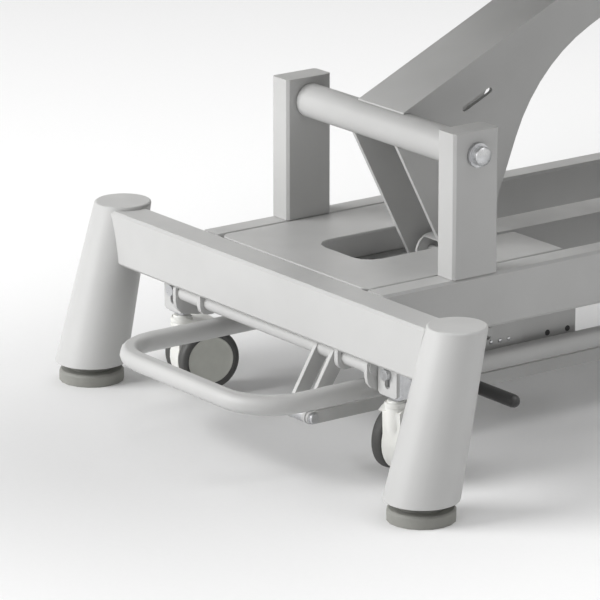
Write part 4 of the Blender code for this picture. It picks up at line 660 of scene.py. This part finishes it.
def make_cushion(node, name, near_radius, far_radius, hole, body):
    """One upholstered section: swollen cover, welts in both seams and topstitching beside them."""
    sizes = bpy.context.scene.table_sizes
    low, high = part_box(node)
    bm = frame_copy(node)
    bmesh.ops.recalc_face_normals(bm, faces=bm.faces)
    obj = new_piece(name, bm, coated_cover)
    applied(obj, "REMESH", mode="VOXEL", voxel_size=sizes.voxel)
    centre = (low + high) / 2
    half = (high - low) / 2
    shares = [1 - sizes.shrink / half[k] for k in range(3)]
    for vertex in obj.data.vertices:
        away = vertex.co - centre
        smaller = Vector((away.x * shares[0], away.y * shares[1], away.z * shares[2]))
        vertex.co = centre + smaller - Vector((0, 0, sizes.shrink))
    obj.data.update()
    blow_up(obj, low.z, sizes)
    applied(obj, "SUBSURF", levels=1, render_levels=1)
    for vertex in obj.data.vertices:
        vertex.co.z = max(vertex.co.z, low.z)
    obj.data.update()
    carve_seams(obj, low, high, sizes)
    obj.data.shade_smooth()
    obj.data.materials.clear()
    obj.data.materials.append(finish_of(coated_cover))
    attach(obj, body)
    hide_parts(node)
    solid = bmesh.new()
    solid.from_mesh(obj.data)
    surface = BVHTree.FromBMesh(solid)
    solid.free()
    outline = plan_outline(low, high, near_radius, far_radius)
    rings = [outline]
    if hole:
        rings.append(hole_outline(*hole))
    welts, threads = bmesh.new(), bmesh.new()
    stitch_gap = 2.6 * sizes.welt_radius
    for ring in rings:
        for z, beside in ((high.z - sizes.seam_drop, 1), (low.z + sizes.seam_drop, -1)):
            line = on_surface(surface, ring, z)
            tube(welts, line, sizes.welt_radius, 10, closed=True)
            stitch_line = on_surface(surface, ring, z - beside * stitch_gap)
            stitches(threads, stitch_line, sizes)
    new_piece(name + "_welts", closed_up(welts), coated_cover, body, 80)
    new_piece(name + "_stitches", closed_up(threads), sewing_thread, body, 60)


# Castor wheels

SWIVELS = {"near_left": -13, "near_right": 15, "far_left": 205, "far_right": 165}


def tyre_profile(sizes, seat):
    """A tyre as (radius, distance from the castor's middle): seat, shoulders and crowned tread."""
    outer = sizes.castor_width / 2
    inner = outer - sizes.wheel_width
    full = sizes.wheel_radius
    return [(seat, outer - 0.9 * MM), (seat + 1.0 * MM, outer - 0.2 * MM), (seat + 3.0 * MM, outer),
            (full - 2.6 * MM, outer - 0.7 * MM), (full - 0.9 * MM, outer - 2.2 * MM),
            (full - 0.2 * MM, outer - 4.4 * MM),
            (full, outer - 7.0 * MM), (full - 0.2 * MM, inner + 3.6 * MM),
            (full - 0.9 * MM, inner + 1.6 * MM), (full - 2.4 * MM, inner + 0.3 * MM),
            (full - 4.5 * MM, inner), (seat, inner)]


def disc_profile(sizes, seat):
    """A wheel's moulded centre: a rim round a plain shallow dish."""
    outer = sizes.castor_width / 2
    inner = outer - sizes.wheel_width
    rim = seat - 0.15 * MM
    return [(0, outer - 1.9 * MM), (rim - 9.0 * MM, outer - 1.8 * MM), (rim - 3.2 * MM, outer - 1.5 * MM),
            (rim - 1.6 * MM, outer - 1.0 * MM), (rim - 0.9 * MM, outer - 0.6 * MM),
            (rim, outer - 0.7 * MM), (rim, inner + 0.4 * MM), (0, inner + 0.4 * MM)]


def make_wheels(corner):
    """A castor's two wheels: grey discs in darker tyres, and the axle between them."""
    sizes = bpy.context.scene.table_sizes
    body = "wheels_" + corner
    low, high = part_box(body)
    centre = (low + high) / 2
    turn = math.radians(SWIVELS[corner])
    axis = Vector((math.cos(turn), math.sin(turn), 0))
    seat = sizes.wheel_radius - 8.4 * MM
    tyres, discs = bmesh.new(), bmesh.new()
    for way in (axis, -axis):
        turn_profile(tyres, tyre_profile(sizes, seat), centre, way, 64)
        turn_profile(discs, disc_profile(sizes, seat), centre, way, 64)
    inner = sizes.castor_width / 2 - sizes.wheel_width
    reach = inner + 1.0 * MM
    axle_radius = 4 * MM
    axle = [(0, -reach), (axle_radius, -reach), (axle_radius, reach), (0, reach)]
    turn_profile(discs, axle, centre, axis, 24)
    tyre = new_piece("tyres_" + corner, closed_up(tyres), polyurethane_tyre, body, 35)
    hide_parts(body)
    new_piece("discs_" + corner, closed_up(discs), wheel_disc_plastic, body, 35)


# Small fastenings

def round_button(bm, place, axis, radius, height, steps=20):
    """A low domed head standing on a face."""
    sunk = -0.3 * MM
    dome = [(0, height), (0.55 * radius, 0.92 * height), (0.88 * radius, 0.6 * height),
            (radius, 0.15 * height), (radius, sunk), (0, sunk)]
    turn_profile(bm, dome, place, axis, steps)


def make_strap_screws():
    """Three small screws in a row through each strap of the foot loop."""
    sizes = bpy.context.scene.table_sizes
    head_height = 1.4 * MM
    screws = bmesh.new()
    for end in (-1, 1):
        for side in (-1, 1):
            for along in range(3):
                y = end * (sizes.strap_screw - along * sizes.strap_screw_pitch)
                place = Vector((side * sizes.strap_face, y, sizes.strap_screw_height))
                round_button(screws, place, (side, 0, 0), sizes.screw_radius, head_height)
    new_piece("strap_screws", closed_up(screws), zinc_plated_steel, "foot_loop", 50)


def make_bracket_plugs():
    """Black plugs pressed into the spare holes of the plates under the side rails."""
    sizes = bpy.context.scene.table_sizes
    hole_depth = 3 * MM
    hole_places = (0.386, 0.358)
    plug = [(0, 3.1 * MM), (3.2 * MM, 3.1 * MM), (3.3 * MM, 2.8 * MM), (3.3 * MM, 0), (0, 0)]
    plugs = bmesh.new()
    for end in (-1, 1):
        for side in (-1, 1):
            for y in hole_places:
                place = Vector((side * (sizes.bracket_face - hole_depth), end * y, sizes.plug_height))
                turn_profile(plugs, plug, place, (side, 0, 0), 20)
    new_piece("bracket_plugs", closed_up(plugs), black_vinyl, "base", 50)


def make_stem_collars():
    """A moulded collar round the top of each wheel guard's neck."""
    sizes = bpy.context.scene.table_sizes
    inner, outer, height = sizes.collar_radius - 1.4 * MM, sizes.collar_radius, 5.6 * MM
    profile = [(inner, 0), (outer - 0.6 * MM, 0), (outer, 0.6 * MM), (outer, height - 0.8 * MM),
               (outer - 0.8 * MM, height), (inner, height)]
    stems = {joint["child"]: joint["pos_m"] for joint in frame["joints"]}
    for corner in CORNERS:
        x, y = stems["hood_" + corner][:2]
        collar = bmesh.new()
        turn_profile(collar, profile, (x, y, sizes.collar_height), (0, 0, 1), 40)
        new_piece("stem_collar_" + corner, closed_up(collar), white_nylon,
                  "hood_" + corner, 40)


# Operators

class TABLE_OT_steelwork(bpy.types.Operator):
    """Powder coat the frame's steelwork and soften its edges"""
    bl_idname = "table.steelwork"
    bl_label = "Coat the Steelwork"

    def execute(self, context):
        sizes = context.scene.table_sizes
        for name, node in frame["nodes"].items():
            if slot_of(name) == "powder_coated_steel":
                node.material_slots[0].material = finish_of(powder_coated_steel)
                soften(node, sizes.steel_edge)
        return {"FINISHED"}


class TABLE_OT_fittings(bpy.types.Operator):
    """Finish the plated, moulded, rubber and wooden pieces that come from the frame"""
    bl_idname = "table.fittings"
    bl_label = "Finish the Fittings"

    def execute(self, context):
        sizes = context.scene.table_sizes
        widths = {slot: sizes.moulded_edge for slot in ("white_nylon", "light_plastic", "plywood")}
        for name, node in frame["nodes"].items():
            slot = slot_of(name)
            if slot in ("powder_coated_steel", "cushion_cover") or slot not in FINISH_OF_SLOT:
                continue
            node.material_slots[0].material = finish_of(FINISH_OF_SLOT[slot])
            if not name.startswith("wheels_"):
                soften(node, widths.get(slot, sizes.small_edge))
        make_strap_screws()
        make_bracket_plugs()
        make_stem_collars()
        return {"FINISHED"}


class TABLE_OT_wheels(bpy.types.Operator):
    """Make the tyres and discs of the four twin-wheel castors"""
    bl_idname = "table.wheels"
    bl_label = "Make the Castor Wheels"

    def execute(self, context):
        for corner in CORNERS:
            make_wheels(corner)
        return {"FINISHED"}


class TABLE_OT_cushions(bpy.types.Operator):
    """Upholster the main and head sections of the top"""
    bl_idname = "table.cushions"
    bl_label = "Upholster the Top"

    def execute(self, context):
        corner = context.scene.table_sizes.corner_radius
        split_corner = 6 * MM
        make_cushion("main_cushion", "main_upholstery", split_corner, corner, None, "upper_section")
        hole = (Vector((0, -0.820)), 0.050, 0.105)
        make_cushion("head_cushion", "head_upholstery", corner, split_corner, hole, "head_section")
        return {"FINISHED"}


class TABLE_OT_studio(bpy.types.Operator):
    """Lay the floor, hang the lights and place the camera"""
    bl_idname = "table.studio"
    bl_label = "Build the Studio"

    def execute(self, context):
        studio = context.scene.studio_settings
        lay_floor(studio)
        light_world(studio)
        hang_light("key_light", (-1.6, -4.2, 2.3), (0, -0.5, 0.2), (3.0, 2.4), studio.key_power)
        hang_light("top_light", (0.4, 0.6, 4.0), (0, 0, 0), (4.0, 4.0), studio.top_power)
        place_camera(studio)
        context.scene.view_settings.view_transform = "Standard"
        return {"FINISHED"}


def lay_floor(studio):
    """Seamless paper: it keeps the table's shadow and fades into the wall far from the table."""
    bm = bmesh.new()
    bmesh.ops.create_grid(bm, x_segments=1, y_segments=1, size=studio.floor_size / 2)
    mesh = bpy.data.meshes.new("floor")
    bm.to_mesh(mesh)
    bm.free()
    floor = bpy.data.objects.new("floor", mesh)
    bpy.context.scene.collection.objects.link(floor)
    material, tree, shader, place = new_finish("seamless_paper_rolled", 0.9)
    fibre = grain(tree, place, 6, detail=3)
    two_tone(tree, shader, spread(tree, fibre, 0, 1), studio.floor, shade_of(studio.floor, 0.99))
    shader.inputs["Specular IOR Level"].default_value = 0.1
    away = add_node(tree, "ShaderNodeVectorMath", settings={"operation": "LENGTH"},
                    links={0: place}).outputs["Value"]
    fade = add_node(tree, "ShaderNodeMapRange", settings={"interpolation_type": "SMOOTHSTEP"},
                    values={"From Min": studio.fade_start, "From Max": studio.fade_end},
                    links={"Value": away}).outputs["Result"]
    seen = add_node(tree, "ShaderNodeLightPath").outputs["Is Camera Ray"]
    share = add_node(tree, "ShaderNodeMath", settings={"operation": "MULTIPLY"},
                     links={0: fade, 1: seen}).outputs[0]
    wall = add_node(tree, "ShaderNodeEmission", values={"Color": (*studio.wall, 1), "Strength": 1.0})
    faded = add_node(tree, "ShaderNodeMixShader",
                     links={0: share, 1: shader.outputs[0], 2: wall.outputs[0]})
    tree.links.new(faded.outputs[0], tree.nodes["Material Output"].inputs["Surface"])
    mesh.materials.append(material)


def light_world(studio):
    """Even light all round; the camera and mirror-like surfaces see the wall's colour."""
    world = bpy.data.worlds.new("studio")
    bpy.context.scene.world = world
    world.use_nodes = True
    tree = world.node_tree
    tree.nodes.clear()
    ray = add_node(tree, "ShaderNodeLightPath")
    seen = add_node(tree, "ShaderNodeMath", settings={"operation": "MAXIMUM"},
                    links={0: ray.outputs["Is Camera Ray"], 1: ray.outputs["Is Glossy Ray"]}).outputs[0]
    seen = add_node(tree, "ShaderNodeMath", settings={"operation": "MAXIMUM"},
                    links={0: seen, 1: ray.outputs["Is Transmission Ray"]}).outputs[0]
    light = add_node(tree, "ShaderNodeBackground", values={"Color": (1, 1, 1, 1), "Strength": studio.sky})
    wall = add_node(tree, "ShaderNodeBackground", values={"Color": (*studio.wall, 1), "Strength": 1.0})
    mixed = add_node(tree, "ShaderNodeMixShader",
                     links={0: seen, 1: light.outputs[0], 2: wall.outputs[0]})
    add_node(tree, "ShaderNodeOutputWorld", links={"Surface": mixed.outputs[0]})


def hang_light(name, place, aim, size, power):
    lamp = bpy.data.lights.new(name, "AREA")
    lamp.shape = "RECTANGLE"
    lamp.size, lamp.size_y = size
    lamp.energy = power
    obj = bpy.data.objects.new(name, lamp)
    obj.location = place
    obj.rotation_euler = (Vector(aim) - Vector(place)).to_track_quat("-Z", "Y").to_euler()
    bpy.context.scene.collection.objects.link(obj)


def place_camera(studio):
    camera = bpy.data.cameras.new("camera")
    camera.sensor_width = 36
    camera.lens = studio.lens
    camera.clip_start, camera.clip_end = 0.1, 60
    obj = bpy.data.objects.new("camera", camera)
    obj.location = studio.camera_place
    aim = Vector(studio.camera_aim) - Vector(studio.camera_place)
    obj.rotation_euler = aim.to_track_quat("-Z", "Y").to_euler()
    bpy.context.scene.collection.objects.link(obj)
    bpy.context.scene.camera = obj


class TABLE_PT_looks(bpy.types.Panel):
    """Buttons for each group of pieces"""
    bl_label = "Treatment Table"
    bl_idname = "TABLE_PT_looks"
    bl_space_type = "VIEW_3D"
    bl_region_type = "UI"
    bl_category = "Treatment Table"

    def draw(self, context):
        for operator in OPERATORS:
            self.layout.operator(operator.bl_idname)
        for group in (context.scene.table_finishes, context.scene.table_sizes, context.scene.studio_settings):
            box = self.layout.box()
            for name in group.__annotations__:
                box.prop(group, name)


SETTINGS = {"table_finishes": TableFinishes, "table_sizes": TableSizes, "studio_settings": StudioSettings}
OPERATORS = (TABLE_OT_steelwork, TABLE_OT_fittings, TABLE_OT_wheels, TABLE_OT_cushions, TABLE_OT_studio)


def register():
    for kind in (*SETTINGS.values(), *OPERATORS, TABLE_PT_looks):
        bpy.utils.register_class(kind)
    for name, kind in SETTINGS.items():
        setattr(bpy.types.Scene, name, bpy.props.PointerProperty(type=kind))


def unregister():
    for name in SETTINGS:
        delattr(bpy.types.Scene, name)
    for kind in (TABLE_PT_looks, *reversed(OPERATORS), *reversed(list(SETTINGS.values()))):
        bpy.utils.unregister_class(kind)


def main():
    register()
    for operator in OPERATORS:
        group, name = operator.bl_idname.split(".")
        getattr(getattr(bpy.ops, group), name)()


if __name__ == "__main__":
    main()
